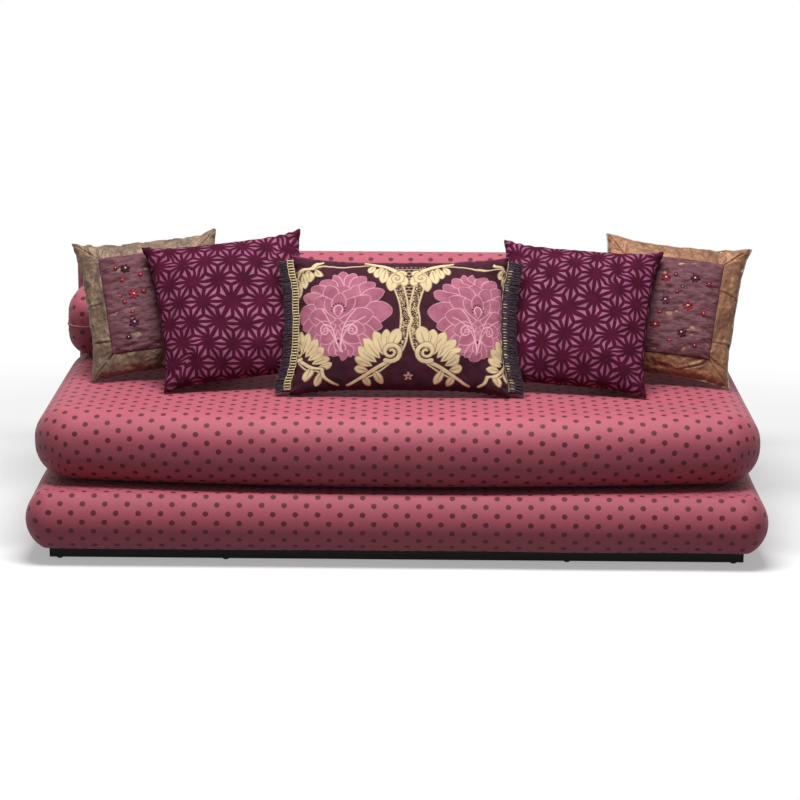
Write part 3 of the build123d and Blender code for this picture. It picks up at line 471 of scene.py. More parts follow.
def plan_path(half, front, rear, corner, bow, steps_long, rear_round=True):
    """The inner path of a rounded plan, anticlockwise from the rear left: points and ways out.
    The front may bow out; the path lies a corner's radius inside the plan."""
    inner = half - corner
    path = []
    if bow:
        radius = (half**2 + bow**2) / (2 * bow)
        centre_y = front + radius
        sweep = math.asin(inner / (radius - corner))
        ends = math.degrees(sweep)
        front_arc = [(math.sin(a) * (radius - corner), centre_y - math.cos(a) * (radius - corner),
                      math.sin(a), -math.cos(a)) for a in np.linspace(-sweep, sweep, steps_long + 1)]
    else:
        ends = 0
        front_arc = [(x, front + corner, 0, -1) for x in np.linspace(-inner, inner, steps_long + 1)]
    front_left, front_right = front_arc[0][:2], front_arc[-1][:2]
    rear_y = rear - corner if rear_round else rear
    side_steps = max(int((rear_y - front_left[1]) / (2 * inner) * steps_long), 4)
    for y in np.linspace(rear_y, front_left[1], side_steps + 1)[:-1]:
        path.append((-inner, y, -1, 0))
    for a in arc(180, 270 - ends, ARC_STEPS):
        path.append((*front_left, math.cos(a), math.sin(a)))
    path += front_arc[:-1]
    for a in arc(270 + ends, 360, ARC_STEPS):
        path.append((*front_right, math.cos(a), math.sin(a)))
    for y in np.linspace(front_right[1], rear_y, side_steps + 1)[:-1]:
        path.append((inner, y, 1, 0))
    if rear_round:
        for a in arc(0, 90, ARC_STEPS):
            path.append((inner, rear_y, math.cos(a), math.sin(a)))
        for x in np.linspace(inner, -inner, steps_long + 1)[:-1]:
            path.append((x, rear_y, 0, 1))
        for a in arc(90, 180, ARC_STEPS):
            path.append((-inner, rear_y, math.cos(a), math.sin(a)))
    else:
        for x in np.linspace(inner, -inner, steps_long + 1)[:-1]:
            path.append((x, rear, x / inner, 0))
    return path


def run_along(path, corner, turns_until=math.inf):
    """The cloth's run along a path whose turns, up to a depth, have a corner's radius."""
    steps = [math.dist(b[:2], a[:2]) + corner * math.dist(b[2:], a[2:]) * (b[1] < turns_until)
             for a, b in zip(path, path[1:])]
    return np.cumsum([0] + steps)


def sweep_rings(path, profile):
    """Rings of points from an inner path and a profile of (reach, height, shrink)."""
    base = np.array([p[:2] for p in path])
    out = np.array([p[2:4] for p in path])
    low, high = base.min(0), base.max(0)
    half_depth = (high[1] - low[1]) / 2
    spine = np.column_stack([np.clip(base[:, 0], low[0] + half_depth, high[0] - half_depth),
                             np.full(len(base), (low[1] + high[1]) / 2)])
    rings = []
    for reach, z, shrink in profile:
        flat_ring = base * (1 - shrink) + spine * shrink + out * reach
        rings.append(np.column_stack([flat_ring, np.full(len(base), z)]))
    return rings


def ring_normals(rings):
    """The outward way at each point of a form made of rings."""
    grid = np.array(rings)
    along = np.roll(grid, -1, axis=1) - np.roll(grid, 1, axis=1)
    up = np.gradient(grid, axis=0)
    normals = np.cross(along, up)
    length = np.linalg.norm(normals, axis=2, keepdims=True)
    upward = np.sign(grid[:, :, 2:] - grid[:, :, 2].mean()) * np.array((0, 0, 1))
    return np.where(length > 1e-7, normals / np.maximum(length, 1e-9), upward)


def closed_rings(name, rings, flats, material, ripple_size, ripple_wave, seed, boards_from=None):
    """A closed mesh from rings that shrink to a line at both ends. From the depth boards_from on,
    the cloth lies taut over boards and doesn't ripple."""
    size = len(rings[0])
    points = np.concatenate(rings)
    rippled = ripple(points, ring_normals(rings).reshape(-1, 3), ripple_size, ripple_wave, seed)
    if boards_from is None:
        points = rippled
    else:
        soft = np.clip((boards_from - points[:, 1:2]) / TAUT_BLEND, 0, 1)
        points = points * (1 - soft) + rippled * soft
    faces = ring_faces(len(rings), size)
    return make_mesh(name, points, faces, material, np.concatenate(flats))


def close_ends(piece):
    """Welds the middle lines of a form of rings, so that it is closed."""
    weld = piece.modifiers.new("middle_line", "WELD")
    weld.merge_threshold = 0.05 * MM
    return piece


jacquard = dotted_jacquard()

# Seat mattress: the cloth runs from the top over the round front and ends to the underside
seat_low, seat_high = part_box("seat_cover")
SEAT_CORNER = 115 * MM
SEAT_UPPER = 85 * MM
SEAT_LOWER = 95 * MM
SEAT_BOW = 75 * MM


def round_profile(corner, upper, lower, bottom, top):
    """(reach, z, run, shrink) up a full round side, from the underside's middle to the top's."""
    rows = []
    for shrink in (1, 0.75, 0.5, 0.25, 0):
        rows.append((0, bottom, None, shrink))
    rows.append((corner - lower, bottom, 0, 0))
    for k in range(1, ARC_STEPS + 1):
        a = math.pi / 2 * k / ARC_STEPS
        rows.append((corner - lower + lower * math.sin(a), bottom + lower - lower * math.cos(a),
                     lower * a, 0))
    side = top - upper - (bottom + lower)
    run = lower * math.pi / 2
    rows.append((corner, bottom + lower + side / 2, run + side / 2, 0))
    run += side
    for k in range(ARC_STEPS + 1):
        a = math.pi / 2 * k / ARC_STEPS
        rows.append((corner - upper + upper * math.cos(a), top - upper + upper * math.sin(a),
                     run + upper * a, 0))
    run += upper * math.pi / 2
    rows.append((0, top, run + corner - upper, 0))
    for shrink in (0.08, 0.2, 0.35, 0.5, 0.65, 0.8, 0.92, 1):
        rows.append((0, top, None, shrink))
    return rows, run


def mattress():
    half = (seat_high.x - seat_low.x) / 2
    centre_x = (seat_high.x + seat_low.x) / 2
    path = plan_path(half - SHY, seat_low.y + SHY, seat_high.y - SHY, SEAT_CORNER - SHY, SEAT_BOW, 96)
    rows, top_run = round_profile(SEAT_CORNER - SHY, SEAT_UPPER, SEAT_LOWER,
                                  seat_low.z + SHY, seat_high.z - SHY)
    rings = sweep_rings(path, [(r, z, s) for r, z, _, s in rows])
    base = np.array([p[:2] for p in path])
    out = np.array([p[2:4] for p in path])
    flats = []
    for (_, _, run, _), ring in zip(rows, rings):
        if run is None:
            flats.append(ring[:, :2].copy())
        else:
            # Beyond the flat top, the cloth's run down the side carries straight on
            unrolled = SEAT_CORNER - SEAT_UPPER + top_run - run
            flats.append(base + out * unrolled)
    for ring in rings:
        ring[:, 0] += centre_x
    return close_ends(closed_rings("seat_mattress_dotted", rings, flats, jacquard, 3 * MM, 0.5, seed=3))


# Padded base: cloth pulled round the swelling front and ends
base_low, base_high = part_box("base_cover")
BASE_SWELL = 40 * MM
BASE_CORNER = 33 * MM


def padded_base():
    half = (base_high.x - base_low.x) / 2 - BASE_SWELL
    front = base_low.y + BASE_SWELL
    path = plan_path(half, front, base_high.y - SHY, BASE_CORNER, 0, 96, rear_round=False)
    height = (base_high.z - base_low.z) / 2
    middle = (base_high.z + base_low.z) / 2
    radius = (height**2 + BASE_SWELL**2) / (2 * BASE_SWELL)
    sweep = math.asin(height / radius)
    rows = []
    for shrink in (1, 0.6, 0.3, 0.15):
        rows.append((0, base_low.z + 2 * MM, -shrink, shrink))
    rows.append((0, base_low.z + SHY, -0.06, 0.148))
    for k in range(2 * ARC_STEPS + 1):
        a = -sweep + 2 * sweep * k / (2 * ARC_STEPS)
        swell = radius * math.cos(a) - (radius - BASE_SWELL)
        rows.append((BASE_CORNER + swell - SHY, middle + radius * math.sin(a) * (1 - SHY / height),
                     radius * (a + sweep), 0))
    for shrink in (0, 0.1, 0.3, 0.6, 1):
        rows.append((0, base_high.z - SHY, 2 * radius * sweep + BASE_CORNER + shrink, shrink))
    rings = sweep_rings(path, [(r, z, s) for r, z, _, s in rows])
    around = run_along(path, BASE_CORNER + BASE_SWELL / 2, base_high.y - 10 * MM)
    front_middle = int(np.argmin([abs(p[0]) + (p[1] - front - BASE_CORNER) * 2 for p in path]))
    around = around - around[front_middle]
    flats = [np.column_stack([around, np.full(len(path), run)]) for _, _, run, _ in rows]
    return close_ends(closed_rings("base_upholstery_dotted", rings, flats, jacquard, 4 * MM, 0.35, seed=5,
                                   boards_from=base_high.y - TAUT_DEPTH))


# Padded back: a rounded slab behind the bolster
back_low, back_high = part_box("back_cover")
BACK_ROUND = 40 * MM


def padded_back():
    half = (back_high.x - back_low.x) / 2 - SHY
    path = plan_path(half, back_low.y + SHY, back_high.y - SHY, BACK_ROUND - SHY, 0, 96)
    corner = BACK_ROUND - SHY
    rows = [(0, back_low.z + SHY, -corner - shrink * 0.05, shrink) for shrink in (1, 0.5, 0)]
    straight = back_high.z - SHY - corner - back_low.z
    for k in range(25):
        rows.append((corner, back_low.z + SHY + straight * k / 24, straight * k / 24, 0))
    for k in range(1, ARC_STEPS + 1):
        a = math.pi / 2 * k / ARC_STEPS
        rows.append((corner * math.cos(a), back_high.z - SHY - corner + corner * math.sin(a),
                     straight + corner * a, 0))
    for shrink in (0.5, 1):
        rows.append((0, back_high.z - SHY, straight + corner * math.pi / 2 + shrink * 0.015, shrink))
    rings = sweep_rings(path, [(r, z, s) for r, z, _, s in rows])
    around = run_along(path, corner)
    front_middle = int(np.argmin([abs(p[0]) + abs(p[1] - back_low.y) for p in path]))
    around = around - around[front_middle]
    flats = [np.column_stack([around, np.full(len(path), run)]) for _, _, run, _ in rows]
    return close_ends(closed_rings("back_upholstery_dotted", rings, flats, jacquard, 4 * MM, 0.3, seed=7,
                                   boards_from=back_high.y - TAUT_DEPTH))


# Bolster: a long rounded roll, its ends gathered into puckers
bolster_low, bolster_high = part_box("bolster_cover")
BOLSTER_ROUND = 85 * MM
BOLSTER_END = 55 * MM
PUCKERS = 26
PUCKER_DEPTH = 2.6 * MM
BOLSTER_TUCK = 12 * MM


def long_bolster():
    depth = (bolster_high.y - bolster_low.y) / 2 - SHY
    height = (bolster_high.z - bolster_low.z) / 2 - SHY
    corner = BOLSTER_ROUND - SHY
    centre_y = (bolster_high.y + bolster_low.y) / 2
    centre_z = (bolster_high.z + bolster_low.z) / 2
    path = plan_path(depth, -height, height, corner, 0, 12)
    base = np.array([p[:2] for p in path])
    out = np.array([p[2:4] for p in path])
    run_round = run_along(path, corner)
    length = (bolster_high.x - bolster_low.x) / 2 - BOLSTER_TUCK
    end_rows = []
    for k in range(ARC_STEPS + 1):
        a = math.pi / 2 * k / ARC_STEPS
        end_rows.append((corner - BOLSTER_END + BOLSTER_END * math.sin(a),
                         -length + BOLSTER_END - BOLSTER_END * math.cos(a), 1 - math.sin(a)))
    long_steps = np.linspace(-length + BOLSTER_END, length - BOLSTER_END, 121)
    # Each end sinks a little towards its middle
    sunk_rows = [(0, 5 * MM, 1), (0, 2 * MM, 0.5), (corner * 0.12, 0.6 * MM, 0)]
    rows = [(reach, -length + sunk, shrink, 1) for reach, sunk, shrink in sunk_rows]
    rows += [(r, x, 0, g) for r, x, g in end_rows]
    rows += [(corner, x, 0, 0) for x in long_steps[1:-1]]
    rows += [(r, -x, 0, g) for r, x, g in reversed(end_rows)]
    rows += [(reach, length - sunk, shrink, 1) for reach, sunk, shrink in reversed(sunk_rows)]
    rings, flats = [], []
    run = 0
    for k, (reach, x, shrink, gathered) in enumerate(rows):
        ring = base * (1 - shrink) + out * reach
        turn = np.arctan2(ring[:, 1], ring[:, 0])
        pucker = np.sin(turn * PUCKERS + 0.7 * np.sin(turn * 5)) * PUCKER_DEPTH * min(gathered * 1.6, 1)
        ring = ring * (1 - np.abs(pucker[:, None]) / depth * 1.2)
        rings.append(np.column_stack([np.full(len(ring), x) - np.sign(x) * np.abs(pucker) * 0.6,
                                      ring[:, 0] + centre_y, ring[:, 1] + centre_z]))
        if k:
            run += math.dist((rows[k - 1][1], rows[k - 1][0]), (x, reach))
        flats.append(np.column_stack([np.full(len(ring), run), run_round]))
    middle_run = run / 2
    for flat in flats:
        flat[:, 0] -= middle_run
    rings = rings[::-1]
    flats = flats[::-1]
    return close_ends(closed_rings("bolster_dotted", rings, flats, jacquard, 2.5 * MM, 0.25, seed=11))


fit_out(mattress(), "seat_mattress", "dotted_cloth", "seat_cover", "seat_foam_core", fill=0.95)
fit_out(padded_base(), "sofa_frame", "dotted_cloth", "base_cover", "base_front_roll",
        "base_left_roll", "base_right_roll", "deck_pad", fill=0.95)
fit_out(padded_back(), "sofa_frame", "dotted_cloth", "back_cover", "back_pad", fill=0.9)
fit_out(long_bolster(), "bolster", "dotted_cloth", "bolster_cover", "bolster_filling", fill=0.85)

# Scatter cushions: a cover's outline shrinks from its seam to its crown, as its sides swell
REACH = (0, 0.22, 0.48, 0.76, 0.93, 1)
SWELL = (0.04, 0.04, 0.05, 0.04, 0.01, -0.035)
CORNER = (0.1, 0.1, 0.24, 0.26, 0.14, 0.02)
CELLS = 56
SEAM_TIGHT = 0.1
SEWN_SHARE = 0.97
DROP_FROM = 300 * MM
DROP_REACH = 340 * MM
EAR = 17 * MM
BREATH = 9 * MM
FILL_FRAMES = 20


class Cushion:
    """A scatter cushion: its place, its sizes and its mesh, sewn from a front and a rear panel."""

    def __init__(self, name, nodes, size, lean, yaw, roll):
        low, high = box_of(*nodes)
        self.name = name
        self.size = tuple(side * MM for side in size)
        up = Vector((0, math.sin(math.radians(lean)), math.cos(math.radians(lean))))
        across = Vector((1, 0, 0))
        turn = math.radians(roll)
        spin = Matrix.Rotation(math.radians(yaw), 3, "Z")
        self.centre = (low + high) / 2
        self.right = spin @ (across * math.cos(turn) + up * math.sin(turn))
        self.top = spin @ (up * math.cos(turn) - across * math.sin(turn))
        self.out = self.right.cross(self.top)

    def at(self, x, y, z=0):
        """The point at a place on the seam's plane and a height out of it, in metres."""
        return self.centre + self.right * x + self.top * y + self.out * z

    def panel_points(self, p, q, side):
        """Places on a panel, from flat shares -1 to 1 each way: arrays of x, y and z."""
        width, height, crown = self.size
        half = min(width, height) / 2
        ring = np.maximum(np.abs(p), np.abs(q))
        reach_line = np.linspace(0, 1, 400) ** 0.6
        crown_line = np.sqrt(1 - reach_line**3) * crown
        steps = np.hypot(np.diff(reach_line) * half, np.diff(crown_line))
        run = np.concatenate([[0], np.cumsum(steps)])
        reach = np.interp(ring, run / run[-1], reach_line)
        z = np.interp(ring, run / run[-1], crown_line) * side
        safe = np.maximum(ring, 1e-9)
        a, b = width / 2 * reach, height / 2 * reach
        x, y = a * p / safe, b * q / safe
        corner = np.interp(reach, REACH, CORNER) * half * np.minimum(reach * 1.2, 1)
        corner = np.minimum(corner, np.minimum(a, b))
        in_x, in_y = np.abs(x) - (a - corner), np.abs(y) - (b - corner)
        rounded = (in_x > 0) & (in_y > 0)
        longest = np.maximum(in_x, in_y)
        scale = np.where(rounded, longest / np.maximum(np.hypot(in_x, in_y), 1e-9), 1)
        x = np.where(rounded, np.sign(x) * (a - corner + in_x * scale), x)
        y = np.where(rounded, np.sign(y) * (b - corner + in_y * scale), y)
        swell = np.interp(reach, REACH, SWELL) * half
        across, up = x / np.maximum(a, 1e-9), y / np.maximum(b, 1e-9)
        ear = EAR * np.abs(p * q) ** 7
        x = x + np.sign(p) * (swell * np.abs(across) ** 2 * (1 - up**2) + ear)
        y = y + np.sign(q) * (swell * np.abs(up) ** 2 * (1 - across**2) + ear)
        return x, y, z

    def sew(self, material, flat_size):
        """Makes the cover: two grids that share their rim, with each point's place on the cloth."""
        self.flat_size = flat_size
        line = np.linspace(-1, 1, CELLS + 1)
        p, q = np.meshgrid(line, line, indexing="ij")
        points, flat, faces, numbers = [], [], [], {}
        edge = (0, CELLS)
        for side in (1, -1):
            x, y, z = self.panel_points(p, q, side)
            for i in range(CELLS + 1):
                for j in range(CELLS + 1):
                    if side == -1 and (i in edge or j in edge):
                        numbers[side, i, j] = numbers[1, i, j]
                        continue
                    numbers[side, i, j] = len(points)
                    points.append(self.at(x[i, j] * SEWN_SHARE, y[i, j] * SEWN_SHARE, z[i, j] * SEWN_SHARE))
                    flat.append((p[i, j] * flat_size[0] / 2, q[i, j] * flat_size[1] / 2))
            for i in range(CELLS):
                for j in range(CELLS):
                    around = ((i, j), (i + 1, j), (i + 1, j + 1), (i, j + 1))
                    quad = [numbers[(side, *place)] for place in around]
                    faces.append(tuple(quad if side == 1 else reversed(quad)))
        self.rim = [number for (side, i, j), number in numbers.items()
                    if side == 1 and (i in edge or j in edge)]
        self.piece = make_mesh(self.name, points, faces, material, flat)
        self.fill()

    def fill(self):
        """Fills the cover: the cloth swells under pressure and puckers at its tight seam."""
        self.piece.vertex_groups.new(name="seam").add(self.rim, 1.0, "REPLACE")
        sewn = np.zeros(len(self.piece.data.vertices) * 3)
        self.piece.data.vertices.foreach_get("co", sewn)
        cloth = self.piece.modifiers.new("filling", "CLOTH")
        cloth.settings.quality = 6
        cloth.settings.mass = 0.3
        cloth.settings.tension_stiffness = cloth.settings.compression_stiffness = 25
        cloth.settings.shear_stiffness = 8
        cloth.settings.bending_stiffness = 0.15
        cloth.settings.use_pressure = True
        cloth.settings.uniform_pressure_force = 4
        cloth.settings.vertex_group_shrink = "seam"
        cloth.settings.shrink_min = -0.035
        cloth.settings.shrink_max = SEAM_TIGHT
        cloth.settings.effector_weights.gravity = 0
        cloth.collision_settings.use_collision = False
        for number in range(1, FILL_FRAMES + 1):
            bpy.context.scene.frame_set(number)
        shaped = self.piece.evaluated_get(bpy.context.evaluated_depsgraph_get())
        swollen = np.zeros(len(sewn))
        shaped.data.vertices.foreach_get("co", swollen)
        move = (swollen - sewn).reshape(-1, 3)
        length = np.linalg.norm(move, axis=1, keepdims=True)
        move *= np.minimum(1, BREATH / np.maximum(length, 1e-9))
        self.piece.modifiers.remove(cloth)
        self.piece.data.vertices.foreach_set("co", sewn + move.ravel())
        self.piece.data.update()
        bpy.context.scene.frame_set(1)

    def work_cloth(self, levels, rise):
        """Divides the cover finely and moves its cloth out by rise(flat places, which are in front)."""
        smooth = self.piece.modifiers.new("smooth_cloth", "SUBSURF")
        smooth.levels = smooth.render_levels = levels
        graph = bpy.context.evaluated_depsgraph_get()
        fine = bpy.data.meshes.new_from_object(self.piece.evaluated_get(graph))
        self.piece.modifiers.clear()
        self.piece.data = fine
        count = len(fine.vertices)
        points, normals = np.zeros(count * 3), np.zeros(count * 3)
        fine.vertices.foreach_get("co", points)
        fine.vertex_normals.foreach_get("vector", normals)
        corners = np.zeros(len(fine.loops), np.int32)
        fine.loops.foreach_get("vertex_index", corners)
        laid = np.zeros(len(fine.loops) * 2)
        fine.uv_layers["cloth"].data.foreach_get("uv", laid)
        flat = np.zeros((count, 2))
        flat[corners] = laid.reshape(-1, 2)
        points = points.reshape(-1, 3)
        front = (points - np.array(self.centre)) @ np.array(self.out) > -0.5 * MM
        points += normals.reshape(-1, 3) * rise(flat, front)[:, None]
        fine.vertices.foreach_set("co", points.ravel())
        fine.update()
        self.surface = BVHTree.FromObject(self.piece, bpy.context.evaluated_depsgraph_get())

    def puckers(self, flat, size, wave, reach):
        """Gathers that run in from the seam and die out, strongest towards the corners."""
        half = np.array(self.flat_size) / 2
        share = np.abs(flat) / half
        near_end = share[:, 0] > share[:, 1]
        along = np.where(near_end, flat[:, 1], flat[:, 0])
        off = np.where(near_end, half[0] - np.abs(flat[:, 0]), half[1] - np.abs(flat[:, 1]))
        corner = np.minimum(share[:, 0], share[:, 1]) ** 2
        fade = np.exp(-off / reach) * np.minimum(off / (6 * MM), 1)
        turn = 2 * math.pi * along / wave + 2.4 * np.sin(along * 31 + near_end) + near_end * 1.3
        return size * (0.35 + 0.9 * corner) * fade * np.sin(turn)

    def drop(self, x, y):
        """The point and way out where a place on the seam's plane meets the cover's front."""
        hit, normal, _, _ = self.surface.ray_cast(self.at(x, y, DROP_FROM), -self.out, DROP_REACH)
        return hit, normal

    def seam_point(self, x, y):
        """The point of the seam nearest to a place on the seam's plane."""
        half = min(self.size[:2]) / 2
        a, b = self.size[0] / 2, self.size[1] / 2
        sag = SWELL[-1] * half
        if abs(x / a) > abs(y / b):
            x = math.copysign(a + sag * (1 - (y / b) ** 2), x)
        else:
            y = math.copysign(b + sag * (1 - (x / a) ** 2), y)
        return self.surface.find_nearest(self.at(x * 1.1, y * 1.1))[0]


def crumple(flat, size, wave, seed):
    """Sharp irregular creases in cloth, as heights."""
    heights = np.empty(len(flat))
    for k, (x, y) in enumerate(flat / wave):
        heights[k] = 1 - 2 * abs(noise.turbulence((x, y, seed), 3, False, amplitude_scale=0.55) - 0.32)
    return (heights - heights.mean()) * size


def rounded_cord(name, path, radius, material, closed=False):
    """A plain round cord as a mesh along a path."""
    points, faces = tube(path, radius, closed=closed)
    return make_mesh(name, points, faces, material)


def many(name, shapes, material):
    """One mesh from many small closed shapes."""
    points, faces = [], []
    for some_points, some_faces in shapes:
        start = len(points)
        points += some_points
        faces += [tuple(start + i for i in face) for face in some_faces]
    return make_mesh(name, points, faces, material)


plum_stars = star_velvet("velvet_burnout_plum_stars", 7, (6, 0))
plum_stars_turned = star_velvet("velvet_burnout_plum_stars_turned", 90, (0, 12))
bronze = gold_brocade("brocade_lurex_bronze", "#523E34", "#A2866A")
warm_gold = gold_brocade("brocade_lurex_gold", "#643F2E", "#B88660")
tissue = mauve_tissue()
aubergine = plain_velvet("velvet_cut_aubergine", "#30101F", "#4E1E38", "#9A5C86")
wine = plain_velvet("velvet_cut_wine", "#5E1C34", "#8C3C58", "#D08AA8")
damask = velvet_damask()
cream_yarn = twisted_yarn("cord_twisted_cream_gold", "#94804E", "#E4D5A6", 0.5)
tan_yarn = twisted_yarn("cord_twisted_tan", "#6E5A48", "#A58E74", 0.6)
dark_yarn = twisted_yarn("yarn_cut_aubergine", "#1C0C18", "#402038", 0.8)

# Velvet cushions
VELVET_SIZE = (450, 450, 50)
VELVET_FLAT = (0.5, 0.5)
VELVETS = (
    ("left", plum_stars, 37.5, 7, 6.5),
    ("right", plum_stars_turned, 38.5, -8, -3),
)
for side_name, stars, lean, yaw, roll in VELVETS:
    panels = [f"{side_name}_velvet_{part}" for part in ("front", "rear")]
    cushion = Cushion(f"{side_name}_velvet_cover", panels, VELVET_SIZE, lean, yaw, roll)
    cushion.sew(stars, VELVET_FLAT)
    cushion.work_cloth(1, lambda flat, front: cushion.puckers(flat, 2.6 * MM, 41 * MM, 30 * MM))
    fit_out(cushion.piece, f"{side_name}_velvet_cushion", "star_velvet", *panels,
            f"{side_name}_velvet_filling", fill=0.75)

# Brocade cushions: a mitred gold border round a crinkled middle panel with sewn-on flowers. Each
# flower is its place on the panel as shares, its turn, its width in millimetres and its velvet.
# Each crease is its place in millimetres and its slope.
BROCADE_SIZE = (410, 410, 48)
BROCADE_FLAT = (0.456, 0.456)
MITRE_SINK = 2.4 * MM
MITRE_WIDTH = 2.6 * MM
FOLD_RISE = 3.2 * MM
FOLD_SINK = 3.4 * MM
FOLD_WIDTH = 6
FOLD_LINE = 2.4
FOLD_LENGTH = 45
PANEL_HALF = 139 * MM
PANEL_STEPS = 72
PANEL_TUCK = 1.5 * MM
FLOWER_SPREAD_SHARE = 0.92
PETAL_COUNT = 6
PETAL_ROOT_SHARE = 0.12
PETAL_LENGTH_SHARE = 0.42
PETAL_WIDTH_SHARE = 0.34
BEAD_SHARE = 0.13
PETAL_LIFT = 4.2 * MM
PETAL_PLUMP = 2.0 * MM
BEAD_LIFT = 4.8 * MM
red_petal = plain_velvet("velvet_cut_red", "#6A1426", "#A02C3E", "#E08090")
dark_petal = plain_velvet("velvet_cut_plum_petal", "#2A0E1E", "#54203A", "#A06888")
BROCADES = (
    ("left", bronze, 2.0, 30, 12, 4.5,
     ((-195, 6, 0.05), (-190, -112, -0.08), (-150, -160, 0.5), (150, -180, -0.2)), (
        (-0.56, 0.75, 10, 26, dark_petal), (-0.46, 0.15, 40, 28, red_petal),
        (-0.54, -0.48, 20, 28, dark_petal),
        (-0.76, 0.79, 0, 13, red_petal), (-0.66, 0.5, 25, 14, red_petal), (-0.76, 0.14, 5, 13, red_petal),
        (-0.68, 0.0, 45, 14, red_petal), (-0.26, 0.58, 15, 15, red_petal), (-0.24, 0.2, 35, 15, red_petal),
        (-0.54, -0.24, 10, 14, red_petal), (-0.7, -0.78, 30, 16, dark_petal), (0.1, 0.5, 30, 28, dark_petal),
        (0.15, -0.1, 50, 28, red_petal), (0.3, -0.55, 0, 26, dark_petal), (0.55, 0.2, 20, 26, red_petal))),
    ("right", warm_gold, 7.0, 30, -11, -4.5,
     ((195, -96, 0.06), (190, 60, -0.1), (120, -175, 0.3), (160, -150, -0.5)), (
        (0.54, 0.64, 0, 26, dark_petal), (-0.08, 0.58, 25, 28, red_petal), (0.48, 0.0, 40, 30, red_petal),
        (-0.02, 0.08, 10, 26, dark_petal), (0.43, -0.6, 30, 26, dark_petal), (-0.15, -0.5, 0, 28, red_petal),
        (0.12, 0.68, 20, 14, red_petal), (0.84, 0.56, 45, 15, red_petal), (0.3, 0.42, 5, 14, dark_petal),
        (0.83, -0.12, 15, 16, red_petal), (-0.1, -0.2, 35, 14, red_petal), (0.2, -0.8, 10, 15, red_petal),
        (0.74, -0.84, 30, 14, red_petal), (0.2, 0.3, 20, 12, red_petal), (-0.5, 0.3, 15, 26, red_petal),
        (-0.55, -0.3, 30, 26, dark_petal))),
)


def ridge(off, width):
    """A rounded ridge's share of its height, at a distance off its line."""
    return np.exp(-((off / width) ** 2))


def border_rise(cushion, flat, front, seed, creases):
    """The height of a border's cloth: gathers, creases and the sunk mitre seams."""
    off_panel = np.abs(flat).max(axis=1) - PANEL_HALF * 1.05
    clear = np.where(front, np.clip(off_panel / (12 * MM), 0, 1), 1)
    off_mitre = np.abs(np.abs(flat[:, 0]) - np.abs(flat[:, 1]))
    height = -MITRE_SINK * ridge(off_mitre, MITRE_WIDTH) * front
    for x, y, slope in creases:
        along = flat[:, 0] / MM - x
        off = flat[:, 1] / MM - y - slope * along
        fold = FOLD_RISE * ridge(off - FOLD_WIDTH, FOLD_WIDTH) - FOLD_SINK * ridge(off, FOLD_LINE)
        height += fold * ridge(along, FOLD_LENGTH)
    height += cushion.puckers(flat, 2.4 * MM, 44 * MM, 32 * MM) + crumple(flat, 3.4 * MM, 52 * MM, seed)
    return height * clear


def middle_panel(cushion, name, material):
    """The middle panel: crinkled cloth laid on the cover, with its edge turned under."""
    line = np.linspace(-1, 1, PANEL_STEPS + 1)
    flat = np.array([(x * PANEL_HALF, y * PANEL_HALF) for x in line for y in line])
    crinkles = crumple(flat * np.array([0.45, 1.3]), 3.2 * MM, 22 * MM, 4.0)
    points, places = [], []
    for layer in (1, 0):
        for (x, y), crinkle in zip(flat, crinkles):
            place, normal = cushion.drop(x, y)
            edge = min((PANEL_HALF - max(abs(x), abs(y))) / (8 * MM), 1)
            lift = (1.2 + 2.2 * math.sqrt(edge)) * MM + crinkle * edge if layer else -PANEL_TUCK
            points.append(place + normal * lift)
            places.append((x, y))
    return make_mesh(name, points, sheet_faces(PANEL_STEPS, PANEL_STEPS), material, places)


def petal(cushion, x, y, turn, length, width):
    """A small padded petal on the panel, from its root outwards."""
    points = []
    rings, sides = 6, 8
    for k in range(rings + 1):
        share = k / rings
        reach = math.sin(math.pi * min(0.04 + share * 0.93, 1)) ** 0.7
        for s in range(sides):
            a = 2 * math.pi * s / sides
            along, across = share * length, math.cos(a) * reach * width / 2
            px = x + along * math.cos(turn) - across * math.sin(turn)
            py = y + along * math.sin(turn) + across * math.cos(turn)
            place, normal = cushion.drop(px, py)
            points.append(place + normal * (PETAL_LIFT + math.sin(a) * reach * PETAL_PLUMP))
    faces = ring_faces(rings + 1, sides)
    faces.append(tuple(reversed(range(sides))))
    faces.append(tuple(range(rings * sides, (rings + 1) * sides)))
    return points, faces


def bead(place, normal, radius):
    """A small round bead that sits on the cloth."""
    across = normal.orthogonal().normalized()
    up = normal.cross(across)
    points = []
    rings, sides = 5, 8
    for k in range(1, rings + 1):
        a = math.pi * k / (rings + 1)
        for s in range(sides):
            b = 2 * math.pi * s / sides
            points.append(place + (across * math.cos(b) + up * math.sin(b)) * math.sin(a) * radius
                          + normal * (radius * 0.5 - math.cos(a) * radius))
    faces = ring_faces(rings, sides)
    faces.append(tuple(reversed(range(sides))))
    faces.append(tuple(range((rings - 1) * sides, rings * sides)))
    return points, faces


